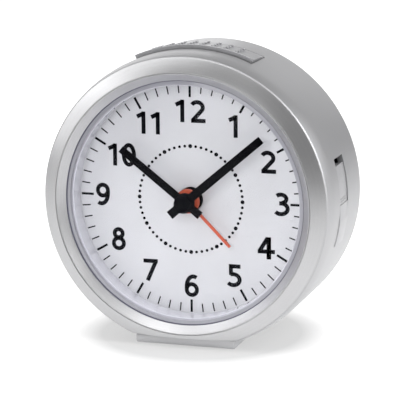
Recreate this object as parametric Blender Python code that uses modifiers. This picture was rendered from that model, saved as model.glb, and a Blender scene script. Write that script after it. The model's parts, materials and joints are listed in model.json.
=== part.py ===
"""Radio-controlled alarm clock, in metres, standing on its foot with its dial towards -Y.

Every piece hangs from one empty at the centre of the dial's face. In that empty's frame X runs
to the right, Y up and Z out of the dial, so a height is a distance in front of the dial's face
and the inside of the case lies at negative heights. An angle on the dial is a clock angle: in
degrees, clockwise from twelve.
"""

import math

import bmesh
import bpy

# Case
DRUM_RADIUS = 0.0500
DRUM_WALL = 0.0020
RIM_WALL = 0.0013
BODY_DEPTH = 0.0330
FLAT_RISE = 0.0047
RIM_HEIGHT = 0.0084
RIM_ROUNDING = 0.0023
REAR_ROUNDING = 0.0010
WEB_SETBACK = 0.0012
WEB_THICKNESS = 0.0018
GAP = 0.0003
RUNNING_GAP = 0.00015

# Foot
FOOT_WIDTH = 0.0348
FOOT_HEIGHT = 0.0029
FOOT_FRONT = 0.0077
FOOT_LENGTH = 0.0350
FOOT_BEVEL = 0.0005
PEG_RADIUS = 0.0020
PEG_SETBACK = 0.0050
PEG_PITCH = 0.0170

# Bezel
CREST_HEIGHT = 0.0112
CREST_INSET = 0.0060
CREST_WIDTH = 0.0003
LIP_INSET = 0.0028
LIP_DEPTH = 0.0029
LIP_EDGE = 0.0003
BEZEL_WALL = 0.0015
SKIRT_WIDTH = 0.0012
SKIRT_END = 0.0042

# Lens and dial
LENS_THICKNESS = 0.0012
LENS_FLANGE = 0.0016
LENS_FLANGE_THICKNESS = 0.0011
DIAL_MARGIN = 0.0034
DIAL_THICKNESS = 0.0009
DIAL_HOLE_RADIUS = 0.0043
RING_DRAFT = 0.0001
RING_LEDGE = 0.0020
RING_WALL = 0.0011
RING_COLLAR = 0.0013

# Hands
HAND_THICKNESS = 0.0005
MINUTE_HAND_WIDTH = 0.0030
HOUR_HAND_WIDTH = 0.0027
HAND_TAPER = 0.88
HUB_RADIUS = 0.0033
MINUTE_HAND_HEIGHT = 0.0071
MINUTE_HAND_MARGIN = 0.00435
MINUTE_HAND_TAIL = 0.0065
MINUTE_HAND_ANGLE = 49.6
HOUR_HAND_HEIGHT = 0.0060
HOUR_HAND_SHORTFALL = 0.00675
HOUR_HAND_TAIL = 0.0066
HOUR_HAND_ANGLE = 307.6
ALARM_HAND_HEIGHT = 0.0031
ALARM_HAND_LENGTH = 0.0207
ALARM_HAND_WIDTH = 0.0010
ALARM_HAND_ANGLE = 135.2
ALARM_HUB_RADIUS = 0.0041
CAP_RADIUS = 0.0030
CAP_HEIGHT = 0.0079
CAP_THICKNESS = 0.0017
BUSH_RADIUS = 0.0040
BUSH_HEIGHT = 0.0009

# Arbor and the two pipes round it
ARBOR_RADIUS = 0.0010
PIPE_WALL = 0.00055
PIVOT_RADIUS = 0.0006

# Movement case
MOVEMENT_WIDTH = 0.0420
MOVEMENT_TOP = 0.0200
MOVEMENT_BOTTOM = 0.0175
MOVEMENT_PLATE = 0.0012
MOVEMENT_DEPTH = 0.0114
MOVEMENT_CORNER = 0.0025
EAR_LENGTH = 0.0070
EAR_WIDTH = 0.0080
EAR_THICKNESS = 0.0016
EAR_RISE = 0.0080

# Gears: teeth, module, angle and height of each mesh
MOTION_MODULE = 0.00050
CENTRE_MODULE = 0.00048
ALARM_MODULE = 0.00068
ROTOR_MODULE = 0.00035
CANNON_TEETH = 10
MOTION_TEETH = 30
MOTION_PINION_TEETH = 8
HOUR_TEETH = 32
CENTRE_TEETH = 36
INTERMEDIATE_PINION_TEETH = 6
INTERMEDIATE_TEETH = 30
ROTOR_TEETH = 6
ALARM_TEETH = 24
ALARM_PINION_TEETH = 8
ADDENDUM = 0.8
DEDENDUM = 1.15
TIP_SHARE = 0.09
ROOT_SHARE = 0.24
WHEEL_THICKNESS = 0.0009
PINION_OVERHANG = 0.0002
ALARM_WHEEL_TOP = -0.0028
HOUR_WHEEL_TOP = -0.0042
MOTION_WHEEL_TOP = -0.0058
CENTRE_WHEEL_TOP = -0.0076
INTERMEDIATE_WHEEL_TOP = -0.0092
MOTION_CLOCK_ANGLE = 270.0
INTERMEDIATE_CLOCK_ANGLE = 145.0
ROTOR_CLOCK_ANGLE = 250.0
ALARM_CLOCK_ANGLE = 55.0

# Stepping motor
MAGNET_RADIUS = 0.0022
MAGNET_LENGTH = 0.0020
MAGNET_TOP = -0.0053
STATOR_THICKNESS = 0.0008
STATOR_BAR = 0.0014
STATOR_RING = 0.0010
STATOR_REACH = 0.0200
CORE_DROP = 0.0122
COIL_RADIUS = 0.0020
COIL_LENGTH = 0.0120
COIL_CHEEK = 0.0006

# Rear cover
COVER_SETBACK = 0.0024
COVER_THICKNESS = 0.0020
COVER_SEAT = 0.0007
SCREW_INSET = 0.0030
UPPER_SCREW_ANGLE = 48.0
LOWER_SCREW_ANGLE = 118.0
BOSS_RADIUS = 0.0032
SCREW_RADIUS = 0.0011
SCREW_LENGTH = 0.0100
SCREW_HEAD_RADIUS = 0.0026
SCREW_HEAD = 0.0014
COUNTERBORE = 0.0010

# Battery
CELL_RADIUS = 0.0071
CELL_LENGTH = 0.0492
NUB_RADIUS = 0.0026
NUB_LENGTH = 0.0013
CELL_RISE = 0.0163
TROUGH_CLEARANCE = 0.0004
TROUGH_WALL = 0.0012
SPRING_ROOM = 0.0042
CONTACT_THICKNESS = 0.0005
DOOR_THICKNESS = 0.0012
DOOR_MARGIN = 0.0015
DOOR_CORNER = 0.0015
DOOR_RIBS = 4
RIB_PITCH = 0.0022
RIB_LENGTH = 0.0120
RIB_WIDTH = 0.0008
RIB_RISE = 0.0005

# Alarm knob and rear buttons
KNOB_RADIUS = 0.0070
KNOB_HEIGHT = 0.0021
KNOB_FLUTES = 20
FLUTE_DEPTH = 0.0004
STEM_RADIUS = 0.0010
BUTTON_COLUMN = 0.0250
BUTTON_TOP = 0.0150
BUTTON_REACH = 0.0027
BUTTON_PITCH = 0.0090
BUTTON_NAMES = ("set_button", "wave_button", "reset_button")
BUTTON_RADIUS = 0.0026
BUTTON_RISE = 0.0012
BUTTON_FLANGE = 0.0008
BUTTON_TRAVEL = 0.0006
SWITCH_SIDE = 0.0060
SWITCH_HEIGHT = 0.0033
PLUNGER_RADIUS = 0.0016
PLUNGER_RISE = 0.0010
PLUNGER_DEPTH = 0.0010

# Control board
BOARD_REACH = 0.0130
BOARD_MARGIN = 0.0050
BOARD_TROUGH_GAP = 0.0040
BOARD_THICKNESS = 0.0016
POST_RADIUS = 0.0022
POST_INSET = 0.0030
POST_BUTTON_GAP = 0.0080
CHIP_SIDE = 0.0090
CHIP_THICKNESS = 0.0018
CHIP_INSET = 0.0105

# Aerial and buzzer
ROD_RADIUS = 0.0040
ROD_LENGTH = 0.0500
ROD_SINK = 0.0168
ROD_STANDOFF = 0.0086
AERIAL_COIL_RADIUS = 0.0052
AERIAL_COIL_LENGTH = 0.0220
CRADLE_SPREAD = 0.0200
CRADLE_THICKNESS = 0.0025
CRADLE_WIDTH = 0.0104
BUZZER_RADIUS = 0.0090
BUZZER_HEIGHT = 0.0045
BUZZER_REACH = 0.0240
BUZZER_RISE = 0.0120
BUZZER_WALL = 0.0010
SOUND_HOLE_RADIUS = 0.0009
SOUND_HOLE_RING = 0.0045

# Snooze bar
SNOOZE_HALF_ANGLE = 23.5
SNOOZE_FRONT_SETBACK = 0.0040
SNOOZE_REAR_SETBACK = 0.0190
SNOOZE_RISE = 0.0016
SNOOZE_WALL = 0.0018
SNOOZE_EDGE = 0.0003
SNOOZE_FRONT_GAP = 0.0008
SNOOZE_SIDE_GAP = 0.0004
BUMP_ROWS = 8
BUMP_ROW_ANGLE = 4.65
BUMPS_PER_ROW = 4
BUMP_FIRST_SETBACK = 0.0085
BUMP_PITCH = 0.0030
BUMP_RADIUS = 0.0008
BUMP_RISE = 0.0004
HINGE_SINK = 0.0054
HINGE_SETBACK = 0.0175
HINGE_PIN_RADIUS = 0.0010
LUG_SPREAD = 0.0130
LUG_THICKNESS = 0.0020
LUG_RADIUS = 0.0021
BRACKET_SPREAD = 0.0162
BRACKET_FOOT = 0.0030
SHELF_SINK = 0.0098
SHELF_THICKNESS = 0.0016
SHELF_LEFT_REACH = 0.0135
SHELF_RIGHT_REACH = 0.0050
SHELF_LENGTH = 0.0100
SNOOZE_SWITCH_SETBACK = 0.0080
SNOOZE_BOSS_RADIUS = 0.0015
SPRING_LEFT = 0.0095
SPRING_RADIUS = 0.0019
SPRING_WIRE = 0.0004
SPRING_TURNS = 5

# Alarm slide switch in the side wall
WINDOW_TOP_ANGLE = 72.7
SLIDER_TOP_ANGLE = 75.6
WINDOW_BOTTOM_ANGLE = 107.3
WINDOW_FRONT = 0.0048
WINDOW_REAR = 0.0155
SLIDER_SINK = 0.0002
SLIDER_GUIDE = 0.0012
SLIDER_GUIDE_WIDTH = 0.0008
SLIDER_ANGLE_GAP = 0.35
GRIP_ANGLES = (88.6, 91.0, 93.4)
GRIP_WIDTH_ANGLE = 0.8
ALARM_SWITCH_SIDE = 0.0060
ALARM_SWITCH_LENGTH = 0.0110
ALARM_SWITCH_INSET = 0.0058
LEVER_WIDTH = 0.0020
LEVER_THICKNESS = 0.0016
FORK_WALL = 0.0010
SWITCH_SHELF_LENGTH = 0.0022

# Facets
SHELL_STEPS = 48
SPRING_STEPS = 6
LENS_RINGS = 2
ROUND_STEPS = 16
SMALL_STEPS = 10

# Worked out from the sizes above
FLAT_DROP = DRUM_RADIUS - FLAT_RISE
AXIS_HEIGHT = FLAT_DROP + GAP + FOOT_HEIGHT
DIAL_Y = (CREST_HEIGHT - BODY_DEPTH) / 2
RIM_RADIUS = DRUM_RADIUS - RIM_WALL
CREST_RADIUS = DRUM_RADIUS - CREST_INSET
LIP_RADIUS = CREST_RADIUS - LIP_INSET
LIP_HEIGHT = CREST_HEIGHT - LIP_DEPTH
RING_TOP_RADIUS = LIP_RADIUS - RING_LEDGE
RING_FOOT_RADIUS = RING_TOP_RADIUS - RING_DRAFT
DIAL_RADIUS = RING_FOOT_RADIUS + DIAL_MARGIN
MINUTE_HAND_LENGTH = RING_FOOT_RADIUS - MINUTE_HAND_MARGIN
HOUR_HAND_LENGTH = MINUTE_HAND_LENGTH - HOUR_HAND_SHORTFALL
INNER_RADIUS = DRUM_RADIUS - DRUM_WALL
FLOOR_DROP = FLAT_DROP - DRUM_WALL
SEATED_DROP = FLOOR_DROP - GAP
WEB_FRONT = -WEB_SETBACK
WEB_BACK = WEB_FRONT - WEB_THICKNESS
COVER_FACE = COVER_SETBACK - BODY_DEPTH
COVER_BACK = COVER_FACE + COVER_THICKNESS
SEAT_HEIGHT = COVER_BACK + GAP
COVER_RADIUS = RIM_RADIUS - GAP
CELL_DROP = FLOOR_DROP - CELL_RISE
HINGE_HEIGHT = INNER_RADIUS - HINGE_SINK
SHELF_TOP = INNER_RADIUS - SHELF_SINK
ROD_RISE = INNER_RADIUS - ROD_SINK
ALARM_SWITCH_RIGHT = INNER_RADIUS - ALARM_SWITCH_INSET
ALARM_SWITCH_LEFT = ALARM_SWITCH_RIGHT - ALARM_SWITCH_SIDE
BOARD_LEFT = -BOARD_REACH
BOARD_RIGHT = BUTTON_COLUMN + BOARD_MARGIN
BOARD_TOP = BUTTON_TOP + BOARD_MARGIN
BOARD_BOTTOM = BOARD_TROUGH_GAP + TROUGH_WALL + TROUGH_CLEARANCE + CELL_RADIUS - CELL_DROP
PLUNGER_END = COVER_BACK + BUTTON_REACH + GAP
SWITCH_FOOT = PLUNGER_END + PLUNGER_RISE + SWITCH_HEIGHT
BOARD_BACK = SWITCH_FOOT + GAP
BOARD_FRONT = BOARD_BACK + BOARD_THICKNESS
ROD_HEIGHT = COVER_BACK + ROD_STANDOFF
PEG_HEIGHTS = (-PEG_SETBACK, -PEG_SETBACK - PEG_PITCH)
BUZZER_SPOT = (-BUZZER_REACH, BUZZER_RISE)
BEYOND = 0.0200

axis_frame = None
parts = None
cutters = None
materials = {}


def start():
    """Clears the scene and makes the two collections and the empty that carries every piece."""
    global axis_frame, parts, cutters
    for item in list(bpy.data.objects):
        bpy.data.objects.remove(item, do_unlink=True)
    parts = bpy.data.collections.new("radio_controlled_alarm_clock")
    cutters = bpy.data.collections.new("cutters")
    for collection in (parts, cutters):
        bpy.context.scene.collection.children.link(collection)
    axis_frame = bpy.data.objects.new("clock_axis", None)
    axis_frame.location = (0.0, DIAL_Y, AXIS_HEIGHT)
    axis_frame.rotation_euler = (math.pi / 2, 0.0, 0.0)
    parts.objects.link(axis_frame)


def material(name, colour, roughness, metallic=0.0, transmission=0.0):
    """A Principled BSDF material, made once for each name."""
    if name not in materials:
        made = bpy.data.materials.new(name)
        made.use_nodes = True
        shader = made.node_tree.nodes["Principled BSDF"]
        shader.inputs["Base Color"].default_value = (*colour, 1.0)
        shader.inputs["Roughness"].default_value = roughness
        shader.inputs["Metallic"].default_value = metallic
        shader.inputs["Transmission Weight"].default_value = transmission
        materials[name] = made
    return materials[name]


def silver():
    return material("silver_paint", (0.62, 0.63, 0.65), 0.35, 0.6)


def dark_plastic():
    return material("dark_plastic", (0.03, 0.03, 0.035), 0.45)


def light_plastic():
    return material("light_plastic", (0.75, 0.75, 0.72), 0.5)


def brass():
    return material("brass", (0.72, 0.55, 0.25), 0.3, 1.0)


def steel():
    return material("steel", (0.60, 0.61, 0.63), 0.3, 1.0)


def place(mesh, name, finish=None, at=(0.0, 0.0, 0.0), turn=(0.0, 0.0, 0.0)):
    """Hangs a mesh from the clock's axis: with a finish it is a part, without one a cutter."""
    made = bpy.data.objects.new(name, mesh)
    made.parent = axis_frame
    made.location = at
    made.rotation_euler = turn
    if finish is None:
        cutters.objects.link(made)
        made.hide_render = True
        made.display_type = "WIRE"
    else:
        parts.objects.link(made)
        mesh.materials.append(finish)
    return made


def boolean(target, tool, operation):
    modifier = target.modifiers.new(f"{operation.lower()} {tool.name}", "BOOLEAN")
    modifier.operation = operation
    modifier.object = tool
    modifier.solver = "EXACT"


def cut(target, *tools):
    for tool in tools:
        boolean(target, tool, "DIFFERENCE")


def join(target, *tools):
    for tool in tools:
        boolean(target, tool, "UNION")


def keep(target, tool):
    boolean(target, tool, "INTERSECT")


def finished(bm, name):
    """The bmesh as a mesh, its faces outwards and its round sides shaded smooth."""
    bmesh.ops.recalc_face_normals(bm, faces=bm.faces)
    mesh = bpy.data.meshes.new(name)
    bm.to_mesh(mesh)
    bm.free()
    mesh.shade_smooth()
    mesh.set_sharp_from_angle(angle=math.radians(35))
    return mesh


def arc(centre, radii, first, last, count):
    """Points on an ellipse from the first to the last angle, in degrees from +X."""
    points = []
    for step in range(count + 1):
        angle = math.radians(first + (last - first) * step / count)
        points.append((centre[0] + radii[0] * math.cos(angle), centre[1] + radii[1] * math.sin(angle)))
    return points


def circle(radius, count, centre=(0.0, 0.0)):
    return arc(centre, (radius, radius), 0, 360, count)[:-1]


def rounded_box(left, bottom, right, top, radius, count=3):
    """The outline of a rectangle with round corners, anticlockwise."""
    radii = (radius, radius)
    points = arc((right - radius, bottom + radius), radii, -90, 0, count)
    points += arc((right - radius, top - radius), radii, 0, 90, count)
    points += arc((left + radius, top - radius), radii, 90, 180, count)
    points += arc((left + radius, bottom + radius), radii, 180, 270, count)
    return points


def turned(name, profile, finish=None, steps=SHELL_STEPS, at=(0.0, 0.0, 0.0), turn=(0.0, 0.0, 0.0)):
    """A profile of (radius, height) points, outer side first and top to bottom, turned about Z."""
    bm = bmesh.new()
    points = [bm.verts.new((radius, 0.0, height)) for radius, height in profile]
    for first, second in zip(points, points[1:]):
        bm.edges.new((first, second))
    if profile[0][0] > 0.0 or profile[-1][0] > 0.0:
        bm.edges.new((points[-1], points[0]))
    mesh = bpy.data.meshes.new(name)
    bm.to_mesh(mesh)
    bm.free()
    made = place(mesh, name, finish, at, turn)
    screw = made.modifiers.new("turn", "SCREW")
    screw.axis = "Z"
    screw.angle = 2 * math.pi
    screw.steps = steps
    screw.render_steps = steps
    screw.use_merge_vertices = True
    screw.merge_threshold = 0.00001
    screw.use_smooth_shade = True
    return made


def disc(name, radius, low, high, finish=None, steps=ROUND_STEPS, at=(0.0, 0.0), bottom_radius=None):
    """A round bar along Z, or a cone where its bottom radius differs."""
    bm = bmesh.new()
    foot = radius if bottom_radius is None else bottom_radius
    bmesh.ops.create_cone(
        bm, cap_ends=True, segments=steps, radius1=foot, radius2=radius, depth=high - low
    )
    bmesh.ops.translate(bm, verts=bm.verts, vec=(0.0, 0.0, (high + low) / 2))
    return place(finished(bm, name), name, finish, (at[0], at[1], 0.0))


def block(name, lowest, highest, finish=None, bevel=0.0):
    """A box between two corners, its edges bevelled if asked."""
    bm = bmesh.new()
    bmesh.ops.create_cube(bm, size=1.0)
    size = [high - low for low, high in zip(lowest, highest)]
    middle = [(high + low) / 2 for low, high in zip(lowest, highest)]
    bmesh.ops.scale(bm, verts=bm.verts, vec=size)
    made = place(finished(bm, name), name, finish, middle)
    if bevel:
        rounding = made.modifiers.new("edges", "BEVEL")
        rounding.width = bevel
        rounding.segments = 2
    return made


def sheet(name, outline, low, high, finish=None, at=(0.0, 0.0, 0.0), turn=(0.0, 0.0, 0.0)):
    """A flat outline in XY, given its thickness between two heights."""
    bm = bmesh.new()
    face = bm.faces.new([bm.verts.new((x, y, low)) for x, y in outline])
    grown = bmesh.ops.extrude_face_region(bm, geom=[face])
    raised = [item for item in grown["geom"] if isinstance(item, bmesh.types.BMVert)]
    bmesh.ops.translate(bm, verts=raised, vec=(0.0, 0.0, high - low))
    return place(finished(bm, name), name, finish, at, turn)


def bar_along_x(name, outline, left, right, finish=None):
    """An outline of (y, z) points, given its length along X."""
    turn = (math.pi / 2, 0.0, math.pi / 2)
    return sheet(name, outline, left, right, finish, turn=turn)


def sector(name, first, last, low, high):
    """A wedge between two clock angles, reaching past the drum's wall."""
    reach = DRUM_RADIUS + BEYOND
    corners = [on_dial(reach, first + (last - first) * step / 4) for step in range(5)]
    return sheet(name, [(0.0, 0.0)] + corners, low, high)


def on_dial(radius, clock_angle):
    angle = math.radians(clock_angle)
    return (radius * math.sin(angle), radius * math.cos(angle))


def screw_spots():
    """The four cover screws, near the drum's wall."""
    reach = INNER_RADIUS - SCREW_INSET
    angles = (-UPPER_SCREW_ANGLE, UPPER_SCREW_ANGLE, -LOWER_SCREW_ANGLE, LOWER_SCREW_ANGLE)
    return [on_dial(reach, angle) for angle in angles]


def button_spots():
    """The column of rear buttons, from the top one down."""
    return [(BUTTON_COLUMN, BUTTON_TOP - number * BUTTON_PITCH) for number in range(len(BUTTON_NAMES))]


def post_spots():
    """The posts under the control board's corners, clear of the buttons."""
    left = BOARD_LEFT + POST_INSET
    low = BOARD_BOTTOM + POST_INSET
    return [(left, low), (left, BOARD_TOP - POST_INSET), (BUTTON_COLUMN - POST_BUTTON_GAP, low)]


def gear_outline(teeth, module, facing, tooth=True):
    """Straight-sided teeth; the side facing a clock angle has a tooth there, or else a space."""
    tip = module * (teeth / 2 + ADDENDUM)
    root = module * (teeth / 2 - DEDENDUM)
    pitch = 2 * math.pi / teeth
    start_angle = math.pi / 2 - math.radians(facing) + (0.0 if tooth else pitch / 2)
    corners = ((root, -ROOT_SHARE), (tip, -TIP_SHARE), (tip, TIP_SHARE), (root, ROOT_SHARE))
    points = []
    for number in range(teeth):
        for radius, share in corners:
            angle = start_angle + (number + share) * pitch
            points.append((radius * math.cos(angle), radius * math.sin(angle)))
    return points


def gear(name, teeth, module, facing, tooth, top, bottom, finish=None, at=(0.0, 0.0)):
    outline = gear_outline(teeth, module, facing, tooth)
    return sheet(name, outline, bottom, top, finish, (at[0], at[1], 0.0))


def below_floor(name, drop, low=-BODY_DEPTH - BEYOND, high=CREST_HEIGHT + BEYOND):
    """Takes away what lies under a level floor."""
    reach = DRUM_RADIUS + BEYOND
    return block(name, (-reach, -reach, low), (reach, -drop, high))


def hollow(name, profile):
    """A round hollow in the drum, kept above its floor."""
    made = turned(name, profile)
    cut(made, below_floor(f"{name} floor", FLOOR_DROP))
    return made


def make_housing():
    """The drum with its rounded rim, flat, web, windows, bosses and the snooze bar's supports."""
    drop = RIM_HEIGHT - RIM_ROUNDING
    profile = [(0.0, RIM_HEIGHT), (RIM_RADIUS, RIM_HEIGHT)]
    profile += arc((RIM_RADIUS, drop), (RIM_WALL, RIM_ROUNDING), 90, 0, 4)[1:]
    back = REAR_ROUNDING - BODY_DEPTH
    profile += arc((DRUM_RADIUS - REAR_ROUNDING, back), (REAR_ROUNDING, REAR_ROUNDING), 0, -90, 2)
    profile += [(0.0, -BODY_DEPTH)]
    housing = turned("housing", profile, silver())
    cut(housing, below_floor("flat", FLAT_DROP))
    ledge = SKIRT_END - GAP
    front = RIM_HEIGHT + BEYOND
    cut(housing, hollow("front hollow", [
        (0.0, front), (RIM_RADIUS, front), (RIM_RADIUS, ledge), (INNER_RADIUS, ledge),
        (INNER_RADIUS, WEB_FRONT), (0.0, WEB_FRONT),
    ]))
    rear = -BODY_DEPTH - BEYOND
    cut(housing, hollow("rear hollow", [
        (0.0, WEB_BACK), (INNER_RADIUS, WEB_BACK), (INNER_RADIUS, SEAT_HEIGHT),
        (RIM_RADIUS, SEAT_HEIGHT), (RIM_RADIUS, rear), (0.0, rear),
    ]))
    add_supports(housing)
    cut_windows(housing)


def add_supports(housing):
    """Screw bosses, the switch shelves and the brackets of the snooze bar's hinge."""
    for number, spot in enumerate(screw_spots()):
        boss = disc(f"boss {number}", BOSS_RADIUS, SEAT_HEIGHT, WEB_BACK + GAP, None, SMALL_STEPS, spot)
        pilot_low = SEAT_HEIGHT - GAP
        pilot_high = COVER_FACE + COUNTERBORE + SCREW_LENGTH + 2 * GAP
        pilot = disc(
            f"pilot {number}", SCREW_RADIUS + RUNNING_GAP, pilot_low, pilot_high, None, SMALL_STEPS, spot
        )
        join(housing, boss)
        cut(housing, pilot)
    shelf_bottom = SHELF_TOP - SHELF_THICKNESS
    join(housing, block(
        "snooze shelf", (-SHELF_LEFT_REACH, shelf_bottom, WEB_BACK - SHELF_LENGTH),
        (SHELF_RIGHT_REACH, SHELF_TOP, WEB_BACK + GAP),
    ))
    half = LUG_RADIUS
    for side, word in ((-1, "left"), (1, "right")):
        middle = side * BRACKET_SPREAD
        bracket = block(
            f"{word} bracket",
            (middle - LUG_THICKNESS / 2, HINGE_HEIGHT - half, -SNOOZE_REAR_SETBACK - BRACKET_FOOT),
            (middle + LUG_THICKNESS / 2, INNER_RADIUS, -HINGE_SETBACK + half),
        )
        keep(bracket, turned(f"{word} bracket limit", [
            (0.0, 0.0), (INNER_RADIUS + DRUM_WALL / 2, 0.0),
            (INNER_RADIUS + DRUM_WALL / 2, -BODY_DEPTH), (0.0, -BODY_DEPTH),
        ]))
        join(housing, bracket)
    half = ALARM_SWITCH_LENGTH / 2
    join(housing, block(
        "alarm switch shelf", (ALARM_SWITCH_LEFT, -half, WEB_BACK - SWITCH_SHELF_LENGTH),
        (ALARM_SWITCH_RIGHT, half, WEB_BACK + GAP),
    ))


def movement_outline(margin=0.0):
    half = MOVEMENT_WIDTH / 2 + margin
    return rounded_box(-half, -MOVEMENT_BOTTOM - margin, half, MOVEMENT_TOP + margin, MOVEMENT_CORNER)


def cut_windows(housing):
    """The openings for the movement, the snooze bar, the slide switch and the foot's pegs."""
    cut(housing, sheet("movement window", movement_outline(GAP), WEB_BACK - GAP, WEB_FRONT + GAP))
    half_angle = SNOOZE_HALF_ANGLE + math.degrees(SNOOZE_SIDE_GAP / DRUM_RADIUS)
    snooze = turned("snooze window", ring_profile(
        INNER_RADIUS - GAP, DRUM_RADIUS + BEYOND,
        -SNOOZE_REAR_SETBACK - SNOOZE_FRONT_GAP / 2, -SNOOZE_FRONT_SETBACK + SNOOZE_FRONT_GAP,
    ))
    keep(snooze, sector("snooze sector", -half_angle, half_angle, -BODY_DEPTH, 0.0))
    side = turned("side window", ring_profile(
        INNER_RADIUS - GAP, DRUM_RADIUS + BEYOND, -WINDOW_REAR, -WINDOW_FRONT,
    ))
    keep(side, sector("side sector", WINDOW_TOP_ANGLE, WINDOW_BOTTOM_ANGLE, -BODY_DEPTH, 0.0))
    cut(housing, side)
    cut(housing, snooze)
    for number, height in enumerate(PEG_HEIGHTS):
        cut(housing, upright_peg(f"peg hole {number}", PEG_RADIUS + GAP, height, FLOOR_DROP - GAP))
    for number, spot in enumerate(ear_spots()):
        cut(housing, disc(
            f"web pilot {number}", SCREW_RADIUS + RUNNING_GAP, WEB_BACK - GAP, WEB_FRONT + GAP,
            None, SMALL_STEPS, spot,
        ))
    pin = HINGE_PIN_RADIUS + RUNNING_GAP
    cut(housing, hinge_bar("hinge bore", pin, BRACKET_SPREAD + LUG_THICKNESS))


def ring_profile(inner, outer, low, high):
    return [(outer, high), (outer, low), (inner, low), (inner, high)]


def hinge_bar(name, radius, reach, finish=None):
    """A round bar along X on the snooze bar's hinge line."""
    outline = circle(radius, SMALL_STEPS, (HINGE_HEIGHT, -HINGE_SETBACK))
    return bar_along_x(name, outline, -reach, reach, finish)


def upright_peg(name, radius, height, top_drop, finish=None):
    """A round peg along Y, up from the foot's top face to a depth under the axis."""
    low = FLAT_DROP + GAP
    outline = circle(radius, SMALL_STEPS)
    return sheet(name, outline, 0.0, low - top_drop + GAP, finish,
                 (0.0, -low - GAP, height), (-math.pi / 2, 0.0, 0.0))


def make_foot():
    """The block that the clock stands on, with two pegs that locate it in the drum's flat."""
    top = FLAT_DROP + GAP
    half = FOOT_WIDTH / 2
    foot = block(
        "foot", (-half, -AXIS_HEIGHT, FOOT_FRONT - FOOT_LENGTH), (half, -top, FOOT_FRONT),
        silver(), FOOT_BEVEL,
    )
    for number, height in enumerate(PEG_HEIGHTS):
        join(foot, upright_peg(f"peg {number}", PEG_RADIUS, height, FLOOR_DROP + GAP))


def bezel_edge():
    """Where the bezel's slope ends inside the drum's rim: radius and height."""
    return (RIM_RADIUS - GAP, RIM_HEIGHT - GAP / 2)


def make_bezel():
    """The front ring: a slope outside, a rounded crest, a funnel inside and a skirt in the drum."""
    outer, edge = bezel_edge()
    half = CREST_WIDTH / 2
    profile = arc((CREST_RADIUS, CREST_HEIGHT - half), (half, half), 60, 180, 2)[::-1]
    profile += [(outer - GAP, edge + GAP), (outer, edge)]
    profile += [(outer, SKIRT_END), (outer - SKIRT_WIDTH, SKIRT_END)]
    profile += [(outer - SKIRT_WIDTH, edge - BEZEL_WALL)]
    profile += [(CREST_RADIUS + BEZEL_WALL / 2, LIP_HEIGHT + BEZEL_WALL / 2)]
    profile += [(LIP_RADIUS + LENS_FLANGE + GAP, LIP_HEIGHT), (LIP_RADIUS, LIP_HEIGHT)]
    profile += [(LIP_RADIUS, LIP_HEIGHT + LIP_EDGE)]
    bezel = turned("bezel", profile, silver())
    cut(bezel, below_floor("bezel flat", FLAT_DROP))
    cut(bezel, below_floor("skirt floor", SEATED_DROP, 0.0, RIM_HEIGHT + GAP))


def lens_curve(height, reach):
    """The height of the domed lens at a radius, for a surface whose crown is at a height."""
    rim = LIP_RADIUS - GAP
    rise = CREST_HEIGHT - LIP_HEIGHT
    sphere = (rim * rim + rise * rise) / (2 * rise)
    return height - sphere + math.sqrt(sphere * sphere - reach * reach)


def make_lens():
    """A clear dome whose flange lies under the bezel's lip."""
    rim = LIP_RADIUS - GAP
    flange_top = LIP_HEIGHT - GAP
    flange_bottom = flange_top - LENS_FLANGE_THICKNESS
    inner = rim - LENS_THICKNESS
    profile = [(rim * step / LENS_RINGS, lens_curve(CREST_HEIGHT, rim * step / LENS_RINGS))
               for step in range(LENS_RINGS + 1)]
    profile += [(rim, flange_top), (rim + LENS_FLANGE, flange_top), (rim + LENS_FLANGE, flange_bottom)]
    profile += [(inner, flange_bottom)]
    crown = CREST_HEIGHT - LENS_THICKNESS
    profile += [
        (inner * step / LENS_RINGS, lens_curve(crown, inner * step / LENS_RINGS))
        for step in range(LENS_RINGS, -1, -1)
    ]
    turned("lens", profile, material("clear_plastic", (0.95, 0.96, 1.0), 0.05, 0.0, 1.0))


def make_dial_ring():
    """The wall between the dial and the lens; its collar stands under the bezel's skirt."""
    top = LIP_HEIGHT - GAP - LENS_FLANGE_THICKNESS - GAP
    collar = INNER_RADIUS - GAP
    collar_top = SKIRT_END - GAP
    base = GAP + RING_WALL
    shelf = LIP_RADIUS + RING_WALL
    profile = [(RING_TOP_RADIUS, top), (shelf, top), (shelf, top - RING_WALL)]
    profile += [(RING_TOP_RADIUS + RING_WALL, top - RING_WALL), (RING_FOOT_RADIUS + RING_WALL, base)]
    profile += [(collar - RING_COLLAR, base)]
    profile += [(collar - RING_COLLAR, collar_top), (collar, collar_top), (collar, GAP)]
    profile += [(RING_FOOT_RADIUS, GAP)]
    ring = turned("dial_ring", profile, material("ring_grey", (0.70, 0.70, 0.74), 0.2, 0.3))
    cut(ring, below_floor("ring floor", SEATED_DROP))


def make_dial():
    """The plate that carries the print, on the front of the web."""
    profile = ring_profile(DIAL_HOLE_RADIUS, DIAL_RADIUS, -DIAL_THICKNESS, 0.0)
    turned("dial", profile, material("dial_white", (0.80, 0.81, 0.83), 0.6))


def pipe_radii(number):
    """Bore and outside of the pipes round the arbor, counted outwards from it."""
    bore = ARBOR_RADIUS + RUNNING_GAP + number * (PIPE_WALL + RUNNING_GAP)
    return bore, bore + PIPE_WALL


def hand(name, finish, height, length, tail, width, hub, bore, clock_angle):
    """A flat hand with a round hub and a square tail, its origin on the axis."""
    half = width / 2
    outline = [(-half, -tail), (half, -tail), (half * HAND_TAPER, length), (-half * HAND_TAPER, length)]
    top = height + HAND_THICKNESS
    turn = (0.0, 0.0, -math.radians(clock_angle))
    made = sheet(name, outline, height, top, finish, turn=turn)
    join(made, disc(f"{name} hub", hub, height - GAP / 3, top + GAP / 3))
    cut(made, disc(f"{name} bore", bore + RUNNING_GAP, height - 2 * GAP, top + 2 * GAP))


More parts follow.
